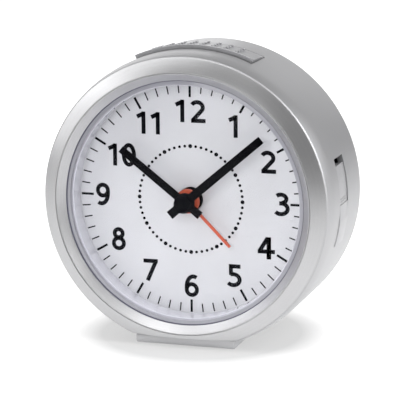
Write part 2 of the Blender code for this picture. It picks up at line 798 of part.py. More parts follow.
def make_hands():
    black = material("hand_black", (0.012, 0.012, 0.014), 0.35)
    orange = material("hand_orange", (0.80, 0.12, 0.03), 0.45)
    hand("minute_hand", black, MINUTE_HAND_HEIGHT, MINUTE_HAND_LENGTH, MINUTE_HAND_TAIL,
         MINUTE_HAND_WIDTH, HUB_RADIUS, ARBOR_RADIUS, MINUTE_HAND_ANGLE)
    hand("hour_hand", black, HOUR_HAND_HEIGHT, HOUR_HAND_LENGTH, HOUR_HAND_TAIL,
         HOUR_HAND_WIDTH, HUB_RADIUS, pipe_radii(0)[1], HOUR_HAND_ANGLE)
    hand("alarm_hand", orange, ALARM_HAND_HEIGHT, ALARM_HAND_LENGTH, 0.0,
         ALARM_HAND_WIDTH, ALARM_HUB_RADIUS, pipe_radii(1)[1], ALARM_HAND_ANGLE)
    top = CAP_HEIGHT + CAP_THICKNESS
    profile = [(0.0, top), (CAP_RADIUS - GAP, top), (CAP_RADIUS, top - GAP), (CAP_RADIUS, CAP_HEIGHT)]
    bore = ARBOR_RADIUS + RUNNING_GAP
    profile += [(bore, CAP_HEIGHT), (bore, top - 2 * GAP), (0.0, top - 2 * GAP)]
    turned("hand_cap", profile, black, ROUND_STEPS)
    bore = pipe_radii(1)[1] + RUNNING_GAP
    turned("centre_bush", [
        (BUSH_RADIUS - GAP, BUSH_HEIGHT), (BUSH_RADIUS, BUSH_HEIGHT - GAP),
        (BUSH_RADIUS, WEB_FRONT + GAP), (bore, WEB_FRONT + GAP), (bore, BUSH_HEIGHT),
    ], black, ROUND_STEPS)


def wheel_span(top):
    return top, top - WHEEL_THICKNESS


def pinion_span(top):
    return top + PINION_OVERHANG, top - WHEEL_THICKNESS - PINION_OVERHANG


def axes():
    """Where each wheel beside the arbor turns, from the pitch circles of its mesh."""
    motion = on_dial(MOTION_MODULE * (CANNON_TEETH + MOTION_TEETH) / 2, MOTION_CLOCK_ANGLE)
    reach = CENTRE_MODULE * (CENTRE_TEETH + INTERMEDIATE_PINION_TEETH) / 2
    intermediate = on_dial(reach, INTERMEDIATE_CLOCK_ANGLE)
    reach = ROTOR_MODULE * (INTERMEDIATE_TEETH + ROTOR_TEETH) / 2
    step = on_dial(reach, ROTOR_CLOCK_ANGLE)
    rotor = (intermediate[0] + step[0], intermediate[1] + step[1])
    alarm = on_dial(ALARM_MODULE * (ALARM_TEETH + ALARM_PINION_TEETH) / 2, ALARM_CLOCK_ANGLE)
    return {"motion": motion, "intermediate": intermediate, "rotor": rotor, "alarm": alarm}


def plate_inside():
    """The height of the movement front plate's inner face."""
    return WEB_FRONT - MOVEMENT_PLATE


def movement_back():
    return WEB_FRONT - MOVEMENT_DEPTH


def case_inside():
    return movement_back() + MOVEMENT_PLATE


def axle(name, at):
    """A pivot through the movement, from inside the front plate to inside the rear shell."""
    low = movement_back() + MOVEMENT_PLATE / 2
    high = WEB_FRONT - MOVEMENT_PLATE / 2
    return disc(name, PIVOT_RADIUS, low, high, None, SMALL_STEPS, at)


def make_minute_arbor():
    """Centre wheel, arbor and cannon pinion in one, with the minute hand on its end."""
    top, bottom = wheel_span(CENTRE_WHEEL_TOP)
    wheel = gear("minute_arbor", CENTRE_TEETH, CENTRE_MODULE, INTERMEDIATE_CLOCK_ANGLE, True,
                 top, bottom, brass())
    cannon_top, cannon_bottom = pinion_span(MOTION_WHEEL_TOP)
    join(wheel, gear("cannon pinion", CANNON_TEETH, MOTION_MODULE, MOTION_CLOCK_ANGLE, True,
                     cannon_top, top - WHEEL_THICKNESS / 2))
    arbor_top = CAP_HEIGHT + CAP_THICKNESS - 3 * GAP
    join(wheel, disc("arbor", ARBOR_RADIUS, bottom - 2 * GAP, arbor_top, None, ROUND_STEPS))
    low = movement_back() + MOVEMENT_PLATE / 2
    join(wheel, disc("arbor pivot", PIVOT_RADIUS, low, bottom, None, SMALL_STEPS))


def make_hour_wheel():
    top, bottom = wheel_span(HOUR_WHEEL_TOP)
    wheel = gear("hour_wheel", HOUR_TEETH, MOTION_MODULE, MOTION_CLOCK_ANGLE, False, top, bottom, brass())
    bore, outside = pipe_radii(0)
    pipe_top = HOUR_HAND_HEIGHT + HAND_THICKNESS + GAP / 2
    join(wheel, disc("hour pipe", outside, bottom, pipe_top))
    cut(wheel, disc("hour bore", bore, bottom - GAP, pipe_top + GAP))


def make_alarm_wheel():
    top, bottom = wheel_span(ALARM_WHEEL_TOP)
    wheel = gear("alarm_wheel", ALARM_TEETH, ALARM_MODULE, ALARM_CLOCK_ANGLE, False, top, bottom,
                 light_plastic())
    bore, outside = pipe_radii(1)
    pipe_top = ALARM_HAND_HEIGHT + HAND_THICKNESS + GAP
    join(wheel, disc("alarm pipe", outside, bottom, pipe_top))
    cut(wheel, disc("alarm bore", bore, bottom - GAP, pipe_top + GAP))


def make_motion_wheel():
    """The wheel that takes the minute arbor's turning down to the hour wheel."""
    at = axes()["motion"]
    top, bottom = wheel_span(MOTION_WHEEL_TOP)
    facing = MOTION_CLOCK_ANGLE + 180.0
    wheel = gear("motion_wheel", MOTION_TEETH, MOTION_MODULE, facing, False, top, bottom,
                 light_plastic(), at)
    pinion_top, _ = pinion_span(HOUR_WHEEL_TOP)
    join(wheel, gear("motion pinion", MOTION_PINION_TEETH, MOTION_MODULE, facing, True,
                     pinion_top, top - WHEEL_THICKNESS / 2, None, at))
    join(wheel, axle("motion axle", at))


def make_intermediate_wheel():
    at = axes()["intermediate"]
    top, bottom = wheel_span(INTERMEDIATE_WHEEL_TOP)
    wheel = gear("intermediate_wheel", INTERMEDIATE_TEETH, ROTOR_MODULE, ROTOR_CLOCK_ANGLE, True,
                 top, bottom, light_plastic(), at)
    pinion_top, _ = pinion_span(CENTRE_WHEEL_TOP)
    join(wheel, gear("intermediate pinion", INTERMEDIATE_PINION_TEETH, CENTRE_MODULE,
                     INTERMEDIATE_CLOCK_ANGLE + 180.0, False, pinion_top, top - WHEEL_THICKNESS / 2,
                     None, at))
    join(wheel, axle("intermediate axle", at))


def make_rotor():
    """The motor's magnet on its own pinion."""
    at = axes()["rotor"]
    top, bottom = pinion_span(INTERMEDIATE_WHEEL_TOP)
    rotor = gear("rotor", ROTOR_TEETH, ROTOR_MODULE, ROTOR_CLOCK_ANGLE + 180.0, False, top, bottom,
                 dark_plastic(), at)
    join(rotor, disc("magnet", MAGNET_RADIUS, MAGNET_TOP - MAGNET_LENGTH, MAGNET_TOP, None,
                     ROUND_STEPS, at))
    join(rotor, axle("rotor axle", at))


def make_motor():
    """The stator, open on the coil's side, and the coil on its core."""
    rotor = axes()["rotor"]
    ring = MAGNET_RADIUS + 2 * GAP + STATOR_RING
    high = -CORE_DROP - COIL_RADIUS - GAP
    low = high - STATOR_BAR
    left = -STATOR_REACH + STATOR_BAR
    core_high = -CORE_DROP + STATOR_BAR / 2
    outline = [
        (left, low), (rotor[0] + ring, low), (rotor[0] + ring, rotor[1] + ring),
        (rotor[0] - ring, rotor[1] + ring), (rotor[0] - ring, high), (left + STATOR_BAR, high),
        (left + STATOR_BAR, core_high), (left, core_high),
    ]
    middle = MAGNET_TOP - MAGNET_LENGTH / 2
    stator = sheet("stator", outline, middle - STATOR_THICKNESS / 2, middle + STATOR_THICKNESS / 2, steel())
    cut(stator, disc("rotor bore", MAGNET_RADIUS + 2 * GAP, middle - STATOR_THICKNESS,
                     middle + STATOR_THICKNESS, None, ROUND_STEPS, rotor))
    coil_left = left + STATOR_BAR + GAP
    coil_right = coil_left + COIL_LENGTH
    turn = (0.0, math.pi / 2, 0.0)
    core = STATOR_BAR / 2
    neck = COIL_RADIUS - COIL_CHEEK
    turned("coil", [
        (0.0, coil_right), (core, coil_right), (COIL_RADIUS, coil_right - GAP),
        (COIL_RADIUS, coil_right - COIL_CHEEK), (neck, coil_right - COIL_CHEEK),
        (neck, coil_left + COIL_CHEEK), (COIL_RADIUS, coil_left + COIL_CHEEK),
        (COIL_RADIUS, coil_left), (0.0, coil_left),
    ], material("copper", (0.60, 0.25, 0.12), 0.35, 1.0), SMALL_STEPS, (0.0, -CORE_DROP, middle), turn)


def make_alarm_setting():
    """The alarm pinion on its long stem, and the fluted knob on the back that turns it."""
    at = axes()["alarm"]
    top, bottom = pinion_span(ALARM_WHEEL_TOP)
    pinion = gear("alarm_pinion", ALARM_PINION_TEETH, ALARM_MODULE, ALARM_CLOCK_ANGLE + 180.0, True,
                  top, bottom, light_plastic(), at)
    stem_end = COVER_FACE - KNOB_HEIGHT / 2
    join(pinion, disc("stem", STEM_RADIUS, stem_end, bottom + GAP, None, SMALL_STEPS, at))
    join(pinion, disc("stem pivot", PIVOT_RADIUS, bottom, WEB_FRONT - MOVEMENT_PLATE / 2, None,
                      SMALL_STEPS, at))
    count = 2 * KNOB_FLUTES
    outline = []
    for number in range(count):
        radius = KNOB_RADIUS - (FLUTE_DEPTH if number % 2 else 0.0)
        angle = 2 * math.pi * number / count
        outline.append((radius * math.cos(angle), radius * math.sin(angle)))
    face = COVER_FACE - GAP - KNOB_HEIGHT
    knob = sheet("alarm_knob", outline, face, COVER_FACE - GAP, dark_plastic(), (at[0], at[1], 0.0))
    cut(knob, disc("knob dish", KNOB_RADIUS * 0.6, face - GAP, face + KNOB_HEIGHT / 4, None,
                   ROUND_STEPS, at))
    cut(knob, disc("knob bore", STEM_RADIUS + RUNNING_GAP, stem_end - GAP, COVER_FACE, None,
                   SMALL_STEPS, at))


def ear_spots():
    """The two screws of the movement, one in each ear."""
    reach = MOVEMENT_WIDTH / 2 + EAR_LENGTH / 2
    return ((reach, EAR_RISE), (-reach, -EAR_RISE))


def make_movement_case():
    """The front plate, and the rear shell with its ears, bored for every pivot."""
    plate = sheet("movement_front_plate", movement_outline(), plate_inside(), WEB_FRONT, light_plastic())
    seat = plate_inside() - GAP
    shell = sheet("movement_rear_plate", movement_outline(), movement_back(), seat, dark_plastic())
    ear_top = WEB_BACK - GAP
    for number, (x, y) in enumerate(ear_spots()):
        inner = math.copysign(MOVEMENT_WIDTH / 2 - GAP, x)
        outer = inner + math.copysign(EAR_LENGTH, x)
        left, right = sorted((inner, outer))
        join(shell, block(f"ear {number}", (left, y - EAR_WIDTH / 2, ear_top - EAR_THICKNESS),
                          (right, y + EAR_WIDTH / 2, ear_top)))
        cut(shell, disc(f"ear bore {number}", SCREW_RADIUS + GAP, ear_top - EAR_THICKNESS - GAP,
                        ear_top + GAP, None, SMALL_STEPS, (x, y)))
        screw(f"movement_screw_{number + 1}", (x, y), ear_top - EAR_THICKNESS - GAP,
              EAR_THICKNESS + WEB_THICKNESS)
    cut(shell, sheet("gear room", movement_outline(-MOVEMENT_PLATE), case_inside(), seat + GAP))
    bore = PIVOT_RADIUS + RUNNING_GAP
    spots = dict(axes())
    for word, at in spots.items():
        through = disc(f"{word} front bearing", bore, plate_inside() - GAP, WEB_FRONT + GAP, None,
                       SMALL_STEPS, at)
        cut(plate, through)
        rear_bore = STEM_RADIUS + RUNNING_GAP if word == "alarm" else bore
        cut(shell, disc(f"{word} rear bearing", rear_bore, movement_back() - GAP, case_inside() + GAP,
                        None, SMALL_STEPS, at))
    cut(shell, disc("arbor bearing", bore, movement_back() - GAP, case_inside() + GAP, None, SMALL_STEPS))
    cut(plate, disc("pipe bearing", pipe_radii(1)[1] + RUNNING_GAP, plate_inside() - GAP, WEB_FRONT + GAP))


def screw(name, spot, head_base, length):
    """A pan-head screw driven towards the dial, its head at the back."""
    top = head_base - SCREW_HEAD
    turned(name, [
        (0.0, head_base + length), (SCREW_RADIUS, head_base + length), (SCREW_RADIUS, head_base),
        (SCREW_HEAD_RADIUS, head_base), (SCREW_HEAD_RADIUS, top + 2 * GAP),
        (SCREW_HEAD_RADIUS - 2 * GAP, top), (0.0, top),
    ], steel(), SMALL_STEPS, (spot[0], spot[1], 0.0))


def cell_height():
    """The height of the cell's axis, under the battery door."""
    return COVER_FACE + DOOR_THICKNESS + GAP + CELL_RADIUS + TROUGH_CLEARANCE


def trough_half_length():
    return (CELL_LENGTH + NUB_LENGTH + SPRING_ROOM + CONTACT_THICKNESS + 3 * GAP) / 2


def trough_outline(radius, rear):
    """A round-bottomed trough round the cell, open towards the back: (y, z) points."""
    points = arc((-CELL_DROP, cell_height()), (radius, radius), 0, 180, 8)
    return [(-CELL_DROP + radius, rear)] + points + [(-CELL_DROP - radius, rear)]


def door_box(margin):
    half_height = CELL_RADIUS + TROUGH_CLEARANCE + DOOR_MARGIN - margin
    half_width = trough_half_length() + DOOR_MARGIN - margin
    return rounded_box(-half_width, -CELL_DROP - half_height, half_width, -CELL_DROP + half_height,
                       DOOR_CORNER)


def make_rear_cover():
    """The back plate with the battery trough, aerial cradles, buzzer ring, posts and holes."""
    cover = turned("rear_cover", [
        (0.0, COVER_BACK), (COVER_RADIUS, COVER_BACK), (COVER_RADIUS, COVER_FACE), (0.0, COVER_FACE),
    ], dark_plastic())
    cut(cover, below_floor("cover floor", SEATED_DROP))
    radius = CELL_RADIUS + TROUGH_CLEARANCE
    half = trough_half_length()
    wall = TROUGH_WALL
    outline = trough_outline(radius + wall, COVER_BACK - GAP)
    join(cover, bar_along_x("trough", outline, -half - wall, half + wall))
    add_cradles(cover)
    add_cover_rings(cover)
    cut(cover, bar_along_x("trough room", trough_outline(radius, COVER_FACE - GAP), -half, half))
    cut(cover, sheet("door seat", door_box(-GAP), COVER_FACE - GAP, COVER_FACE + DOOR_THICKNESS + GAP))
    for number, spot in enumerate(screw_spots()):
        cut(cover, disc(f"cover bore {number}", SCREW_RADIUS + GAP, COVER_FACE - GAP, COVER_BACK + GAP,
                        None, SMALL_STEPS, spot))
        cut(cover, disc(f"counterbore {number}", SCREW_HEAD_RADIUS + GAP, COVER_FACE - GAP,
                        COVER_FACE + COUNTERBORE, None, SMALL_STEPS, spot))
        screw(f"cover_screw_{number + 1}", spot, COVER_FACE + COUNTERBORE - GAP, SCREW_LENGTH)
    for number, spot in enumerate(button_spots()):
        cut(cover, disc(f"button hole {number}", BUTTON_RADIUS + GAP, COVER_FACE - GAP, COVER_BACK + GAP,
                        None, SMALL_STEPS, spot))
    cut(cover, disc("stem hole", STEM_RADIUS + GAP, COVER_FACE - GAP, COVER_BACK + GAP, None,
                    SMALL_STEPS, axes()["alarm"]))
    for number in range(7):
        reach = SOUND_HOLE_RING if number else 0.0
        x, y = on_dial(reach, 60.0 * number)
        spot = (BUZZER_SPOT[0] + x, BUZZER_SPOT[1] + y)
        cut(cover, disc(f"sound hole {number}", SOUND_HOLE_RADIUS, COVER_FACE - GAP, COVER_BACK + GAP,
                        None, 8, spot))


def add_cradles(cover):
    """Two notched brackets that carry the aerial's rod."""
    outline = [
        (ROD_RISE - CRADLE_WIDTH / 2, COVER_BACK - GAP), (ROD_RISE + CRADLE_WIDTH / 2, COVER_BACK - GAP),
        (ROD_RISE + CRADLE_WIDTH / 2, ROD_HEIGHT), (ROD_RISE - CRADLE_WIDTH / 2, ROD_HEIGHT),
    ]
    for side, word in ((-1, "left"), (1, "right")):
        middle = side * CRADLE_SPREAD
        cradle = bar_along_x(f"{word} cradle", outline, middle - CRADLE_THICKNESS / 2,
                             middle + CRADLE_THICKNESS / 2)
        notch = circle(ROD_RADIUS + GAP, ROUND_STEPS, (ROD_RISE, ROD_HEIGHT))
        cut(cradle, bar_along_x(f"{word} notch", notch, middle - CRADLE_THICKNESS, middle + CRADLE_THICKNESS))
        join(cover, cradle)


def add_cover_rings(cover):
    """The ring round the buzzer, and the posts that hold the control board."""
    inner = BUZZER_RADIUS + GAP
    depth = BUZZER_HEIGHT / 2
    wall = ring_profile(inner, inner + BUZZER_WALL, COVER_BACK - GAP, COVER_BACK + depth)
    ring = turned("buzzer ring", wall,
                  None, ROUND_STEPS, (BUZZER_SPOT[0], BUZZER_SPOT[1], 0.0))
    join(cover, ring)
    for number, spot in enumerate(post_spots()):
        join(cover, disc(f"post {number}", POST_RADIUS, COVER_BACK - GAP, BOARD_BACK - GAP, None,
                         SMALL_STEPS, spot))


def make_battery():
    """The cell, its spring, its plate and the door over them."""
    half = trough_half_length()
    nub_end = half - GAP - CONTACT_THICKNESS - GAP
    body_end = nub_end - NUB_LENGTH
    body_start = body_end - CELL_LENGTH
    place_at = (0.0, -CELL_DROP, cell_height())
    turn = (0.0, math.pi / 2, 0.0)
    edge = 2 * GAP
    turned("battery", [
        (0.0, nub_end), (NUB_RADIUS, nub_end), (NUB_RADIUS, body_end), (CELL_RADIUS - edge, body_end),
        (CELL_RADIUS, body_end - edge), (CELL_RADIUS, body_start + edge),
        (CELL_RADIUS - edge, body_start), (0.0, body_start),
    ], material("battery_green", (0.05, 0.22, 0.16), 0.35, 0.3), ROUND_STEPS, place_at, turn)
    width = CELL_RADIUS * 0.7
    block("battery_contact", (half - GAP - CONTACT_THICKNESS, -CELL_DROP - width, cell_height() - width),
          (half - GAP, -CELL_DROP + width, cell_height() + width), steel())
    coil_spring("battery_spring", SPRING_WIRE, 3, NUB_RADIUS * 1.8, NUB_RADIUS, -half + GAP,
                body_start - GAP, place_at, turn)
    door = sheet("battery_door", door_box(0.0), COVER_FACE, COVER_FACE + DOOR_THICKNESS, dark_plastic())
    for number in range(DOOR_RIBS):
        y = -CELL_DROP + (number - (DOOR_RIBS - 1) / 2) * RIB_PITCH
        join(door, block(
            f"door rib {number}", (-RIB_LENGTH / 2, y - RIB_WIDTH / 2, COVER_FACE - RIB_RISE),
            (RIB_LENGTH / 2, y + RIB_WIDTH / 2, COVER_FACE + GAP),
        ))


def coil_spring(name, wire, turns, start_radius, end_radius, low, high, at, turn):
    """One unbroken helix of wire along Z, between two heights."""
    steps = SPRING_STEPS * turns
    points = []
    bottom = low + wire / 2
    top = high - wire / 2
    for step in range(steps + 1):
        share = step / steps
        radius = start_radius + (end_radius - start_radius) * share
        angle = 2 * math.pi * turns * share
        points.append((radius * math.cos(angle), radius * math.sin(angle), bottom + (top - bottom) * share))
    curve = bpy.data.curves.new(name, "CURVE")
    curve.dimensions = "3D"
    curve.bevel_depth = wire / 2
    curve.bevel_resolution = 1
    curve.use_fill_caps = True
    spline = curve.splines.new("POLY")
    spline.points.add(steps)
    for point, (x, y, z) in zip(spline.points, points):
        point.co = (x, y, z, 1.0)
    place(curve, name, steel(), at, turn)


def push_switch(name, at, turn, travel_room):
    """A push switch on a board: its body, bored for the plunger, and the plunger."""
    half = SWITCH_SIDE / 2
    body = sheet(f"{name}_body", rounded_box(-half, -half, half, half, GAP, 1), 0.0, SWITCH_HEIGHT,
                 dark_plastic(), at, turn)
    deep = SWITCH_HEIGHT - PLUNGER_DEPTH
    bore = sheet(f"{name} bore", circle(PLUNGER_RADIUS + GAP, SMALL_STEPS), deep - travel_room - GAP,
                 SWITCH_HEIGHT + GAP, None, at, turn)
    cut(body, bore)
    sheet(f"{name}_plunger", circle(PLUNGER_RADIUS, SMALL_STEPS), deep, SWITCH_HEIGHT + PLUNGER_RISE,
          light_plastic(), at, turn)


def make_rear_buttons():
    """Three buttons in the rear cover, each over the plunger of its switch."""
    for name, spot in zip(BUTTON_NAMES, button_spots()):
        push_switch(name.replace("button", "switch"), (spot[0], spot[1], SWITCH_FOOT),
                    (math.pi, 0.0, 0.0), BUTTON_TRAVEL)
        flange_bottom = COVER_BACK + GAP
        flange_top = flange_bottom + BUTTON_FLANGE
        outer = BUTTON_RADIUS + 2 * BUTTON_FLANGE
        end = COVER_FACE - BUTTON_RISE
        turned(name, [
            (0.0, PLUNGER_END - GAP), (PLUNGER_RADIUS, PLUNGER_END - GAP), (PLUNGER_RADIUS, flange_top),
            (outer, flange_top), (outer, flange_bottom), (BUTTON_RADIUS, flange_bottom),
            (BUTTON_RADIUS, end + GAP), (BUTTON_RADIUS - GAP, end), (0.0, end),
        ], light_plastic(), SMALL_STEPS, (spot[0], spot[1], 0.0))


def make_board():
    """The control board behind the movement, with a hole for the alarm stem, and its chip."""
    board = block("control_board", (BOARD_LEFT, BOARD_BOTTOM, BOARD_BACK),
                  (BOARD_RIGHT, BOARD_TOP, BOARD_FRONT),
                  material("board_green", (0.04, 0.20, 0.09), 0.4))
    cut(board, disc("stem clearance", 2 * STEM_RADIUS, BOARD_BACK - GAP, BOARD_FRONT + GAP, None,
                    SMALL_STEPS, axes()["alarm"]))
    left = BOARD_LEFT + CHIP_INSET
    low = BOARD_BOTTOM + POST_INSET
    block("receiver_chip", (left, low, BOARD_FRONT + GAP),
          (left + CHIP_SIDE, low + CHIP_SIDE, BOARD_FRONT + GAP + CHIP_THICKNESS), dark_plastic())


def make_aerial():
    """The ferrite rod and the winding in its middle."""
    at = (0.0, ROD_RISE, ROD_HEIGHT)
    turn = (0.0, math.pi / 2, 0.0)
    half = ROD_LENGTH / 2
    turned("antenna_rod", [
        (0.0, half), (ROD_RADIUS - GAP, half), (ROD_RADIUS, half - GAP), (ROD_RADIUS, GAP - half),
        (ROD_RADIUS - GAP, -half), (0.0, -half),
    ], material("ferrite", (0.06, 0.06, 0.065), 0.6), ROUND_STEPS, at, turn)
    half = AERIAL_COIL_LENGTH / 2
    profile = ring_profile(ROD_RADIUS + RUNNING_GAP, AERIAL_COIL_RADIUS, -half, half)
    turned("antenna_coil", profile, material("copper", (0.60, 0.25, 0.12), 0.35, 1.0), ROUND_STEPS, at, turn)


def make_buzzer():
    low = COVER_BACK + GAP
    high = low + BUZZER_HEIGHT
    turned("buzzer", [
        (0.0, high), (BUZZER_RADIUS / 2, high), (BUZZER_RADIUS / 2, high - 2 * GAP),
        (BUZZER_RADIUS, high - 2 * GAP), (BUZZER_RADIUS, low), (0.0, low),
    ], dark_plastic(), ROUND_STEPS, (BUZZER_SPOT[0], BUZZER_SPOT[1], 0.0))


def snooze_radius(setback):
    """The radius of the snooze bar's sloping top at a distance behind the dial."""
    share = (setback - SNOOZE_FRONT_SETBACK) / (SNOOZE_REAR_SETBACK - SNOOZE_FRONT_SETBACK)
    return DRUM_RADIUS + SNOOZE_RISE * (1.0 - share)


def make_snooze_bar():
    """The wedge on top: a curved plate, thin at its hinge, with rows of bumps and two lugs."""
    under = INNER_RADIUS + GAP
    front = -SNOOZE_FRONT_SETBACK
    rear = -SNOOZE_REAR_SETBACK
    edge = SNOOZE_EDGE
    bar = turned("snooze_bar", [
        (snooze_radius(SNOOZE_FRONT_SETBACK) - edge, front),
        (snooze_radius(SNOOZE_FRONT_SETBACK + edge), front - edge),
        (DRUM_RADIUS, rear), (under, rear), (under, front),
    ], silver())
    keep(bar, sector("bar sector", -SNOOZE_HALF_ANGLE, SNOOZE_HALF_ANGLE, -BODY_DEPTH, 0.0))
    join(bar, bump_field())
    for side, word in ((-1, "left"), (1, "right")):
        join(bar, lug(f"{word} lug", side * LUG_SPREAD, under))
    boss_top = under + SNOOZE_WALL / 4
    switch_top = SHELF_TOP + GAP + SWITCH_HEIGHT + PLUNGER_RISE
    boss = sheet("switch boss", circle(SNOOZE_BOSS_RADIUS, SMALL_STEPS), switch_top + GAP, boss_top, None,
                 (0.0, 0.0, -SNOOZE_SWITCH_SETBACK), (-math.pi / 2, 0.0, 0.0))
    join(bar, boss)
    cut(bar, hinge_bar("bar bore", HINGE_PIN_RADIUS + RUNNING_GAP, LUG_SPREAD + LUG_THICKNESS))


def lug(name, middle, under):
    """A plate down from the bar's underside, round about the hinge pin."""
    top = math.sqrt(under * under - middle * middle) + GAP
    round_end = arc((HINGE_HEIGHT, -HINGE_SETBACK), (LUG_RADIUS, LUG_RADIUS), 90, 270, 6)
    outline = [(top, LUG_RADIUS - HINGE_SETBACK)] + round_end + [(top, -HINGE_SETBACK - LUG_RADIUS * 0.6)]
    return bar_along_x(name, outline, middle - LUG_THICKNESS / 2, middle + LUG_THICKNESS / 2)


def bump_field():
    """Rows of low domes on the snooze bar's top."""
    bm = bmesh.new()
    for row in range(BUMP_ROWS):
        clock_angle = (row - (BUMP_ROWS - 1) / 2) * BUMP_ROW_ANGLE
        for place_in_row in range(BUMPS_PER_ROW):
            setback = BUMP_FIRST_SETBACK + place_in_row * BUMP_PITCH
            made = bmesh.ops.create_uvsphere(bm, u_segments=6, v_segments=4, radius=BUMP_RADIUS)
            x, y = on_dial(snooze_radius(setback) + BUMP_RISE - BUMP_RADIUS, clock_angle)
            bmesh.ops.translate(bm, verts=made["verts"], vec=(x, y, -setback))
    return place(finished(bm, "bumps"), "bumps")


def make_snooze_works():
    """What the snooze bar acts on: its pin, its return spring and its push switch."""
    hinge_bar("snooze_hinge_pin", HINGE_PIN_RADIUS, BRACKET_SPREAD + LUG_THICKNESS / 2, steel())
    upright = (-math.pi / 2, 0.0, 0.0)
    spot = (0.0, SHELF_TOP + GAP, -SNOOZE_SWITCH_SETBACK)
    push_switch("snooze_switch", spot, upright, BUTTON_TRAVEL)
    under = INNER_RADIUS + GAP
    spring_top = math.sqrt(under * under - (SPRING_LEFT + SPRING_RADIUS) ** 2) - 2 * GAP
    coil_spring("snooze_spring", SPRING_WIRE, SPRING_TURNS, SPRING_RADIUS - SPRING_WIRE / 2,
                SPRING_RADIUS - SPRING_WIRE / 2, 0.0, spring_top - SHELF_TOP - GAP,
                (-SPRING_LEFT, SHELF_TOP + GAP, -SNOOZE_SWITCH_SETBACK), upright)


def make_alarm_slider():
    """The plate of the slide switch, guided behind the drum's wall, with grip ridges and a fork."""
    face = DRUM_RADIUS - 2 * SLIDER_SINK
    guide_outer = INNER_RADIUS - GAP
    guide_inner = guide_outer - SLIDER_GUIDE
    front = -WINDOW_FRONT - GAP
    rear = -WINDOW_REAR + GAP
    slider = turned("alarm_slider", [
        (face, front), (face, rear), (guide_outer, rear), (guide_outer, rear - SLIDER_GUIDE_WIDTH),
        (guide_inner, rear - SLIDER_GUIDE_WIDTH), (guide_inner, front + SLIDER_GUIDE_WIDTH),
        (guide_outer, front + SLIDER_GUIDE_WIDTH), (guide_outer, front),
    ], silver())
    bottom_angle = WINDOW_BOTTOM_ANGLE - SLIDER_ANGLE_GAP
    keep(slider, sector("slider sector", SLIDER_TOP_ANGLE, bottom_angle, -BODY_DEPTH, 0.0))
    for number, angle in enumerate(GRIP_ANGLES):
        ridge = turned(f"ridge {number}", ring_profile(
            face - SLIDER_SINK, DRUM_RADIUS - SLIDER_SINK / 2, rear + 3 * GAP, front - 3 * GAP,
        ))
        keep(ridge, sector(f"ridge sector {number}", angle - GRIP_WIDTH_ANGLE / 2,
                           angle + GRIP_WIDTH_ANGLE / 2, -BODY_DEPTH, 0.0))
        join(slider, ridge)
    middle = lever_height()
    inner = ALARM_SWITCH_RIGHT + GAP
    for side, word in ((-1, "lower"), (1, "upper")):
        near = side * (LEVER_WIDTH / 2 + GAP)
        far = side * (LEVER_WIDTH / 2 + GAP + FORK_WALL)
        low, high = sorted((near, far))
        join(slider, block(f"{word} fork", (inner + 3 * GAP, low, middle - LEVER_THICKNESS),
                           (guide_inner + GAP, high, middle + LEVER_THICKNESS)))


def lever_height():
    """The height of the middle of the alarm switch's body and lever."""
    return WEB_BACK - SWITCH_SHELF_LENGTH - GAP - ALARM_SWITCH_SIDE / 2


def make_alarm_switch():
    """The slide switch inside the wall, slotted for the lever that the slider's fork carries."""
    middle = lever_height()
    width = ALARM_SWITCH_LENGTH / 2
    height = ALARM_SWITCH_SIDE / 2
    body = block("alarm_switch", (ALARM_SWITCH_LEFT, -width, middle - height),
                 (ALARM_SWITCH_RIGHT, width, middle + height), dark_plastic())
    slot_left = ALARM_SWITCH_RIGHT - height
    travel = DRUM_RADIUS * math.radians(SLIDER_TOP_ANGLE - WINDOW_TOP_ANGLE)
    half = LEVER_WIDTH / 2
    cut(body, block("lever slot", (slot_left, -half - 2 * GAP, middle - LEVER_THICKNESS / 2 - GAP),
                    (ALARM_SWITCH_RIGHT + GAP, half + travel, middle + LEVER_THICKNESS / 2 + GAP)))
    block("alarm_switch_lever", (slot_left + 2 * GAP, -half, middle - LEVER_THICKNESS / 2),
          (INNER_RADIUS - 2 * GAP - SLIDER_GUIDE, half, middle + LEVER_THICKNESS / 2), light_plastic())


def main():
    start()
    make_housing()
    make_foot()
    make_bezel()
    make_lens()
    make_dial_ring()
    make_dial()
    make_hands()
    make_movement_case()
    make_minute_arbor()
    make_hour_wheel()
    make_alarm_wheel()
    make_motion_wheel()
    make_intermediate_wheel()
    make_rotor()
    make_motor()
    make_alarm_setting()
    make_rear_cover()
    make_battery()
    make_rear_buttons()
    make_board()
    make_aerial()
    make_buzzer()
    make_snooze_bar()
    make_snooze_works()
    make_alarm_slider()
    make_alarm_switch()


main()
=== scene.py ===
"""The dressed radio-controlled alarm clock: fine shells, printed dial, hands, paint and studio.

Places are given in metres across the dial, up the dial and in front of the dial's face, which
makes heights behind the face negative. Clock angles are in degrees, clockwise from twelve.
"""

import json
import math

import bpy
from mathutils import Matrix, Vector


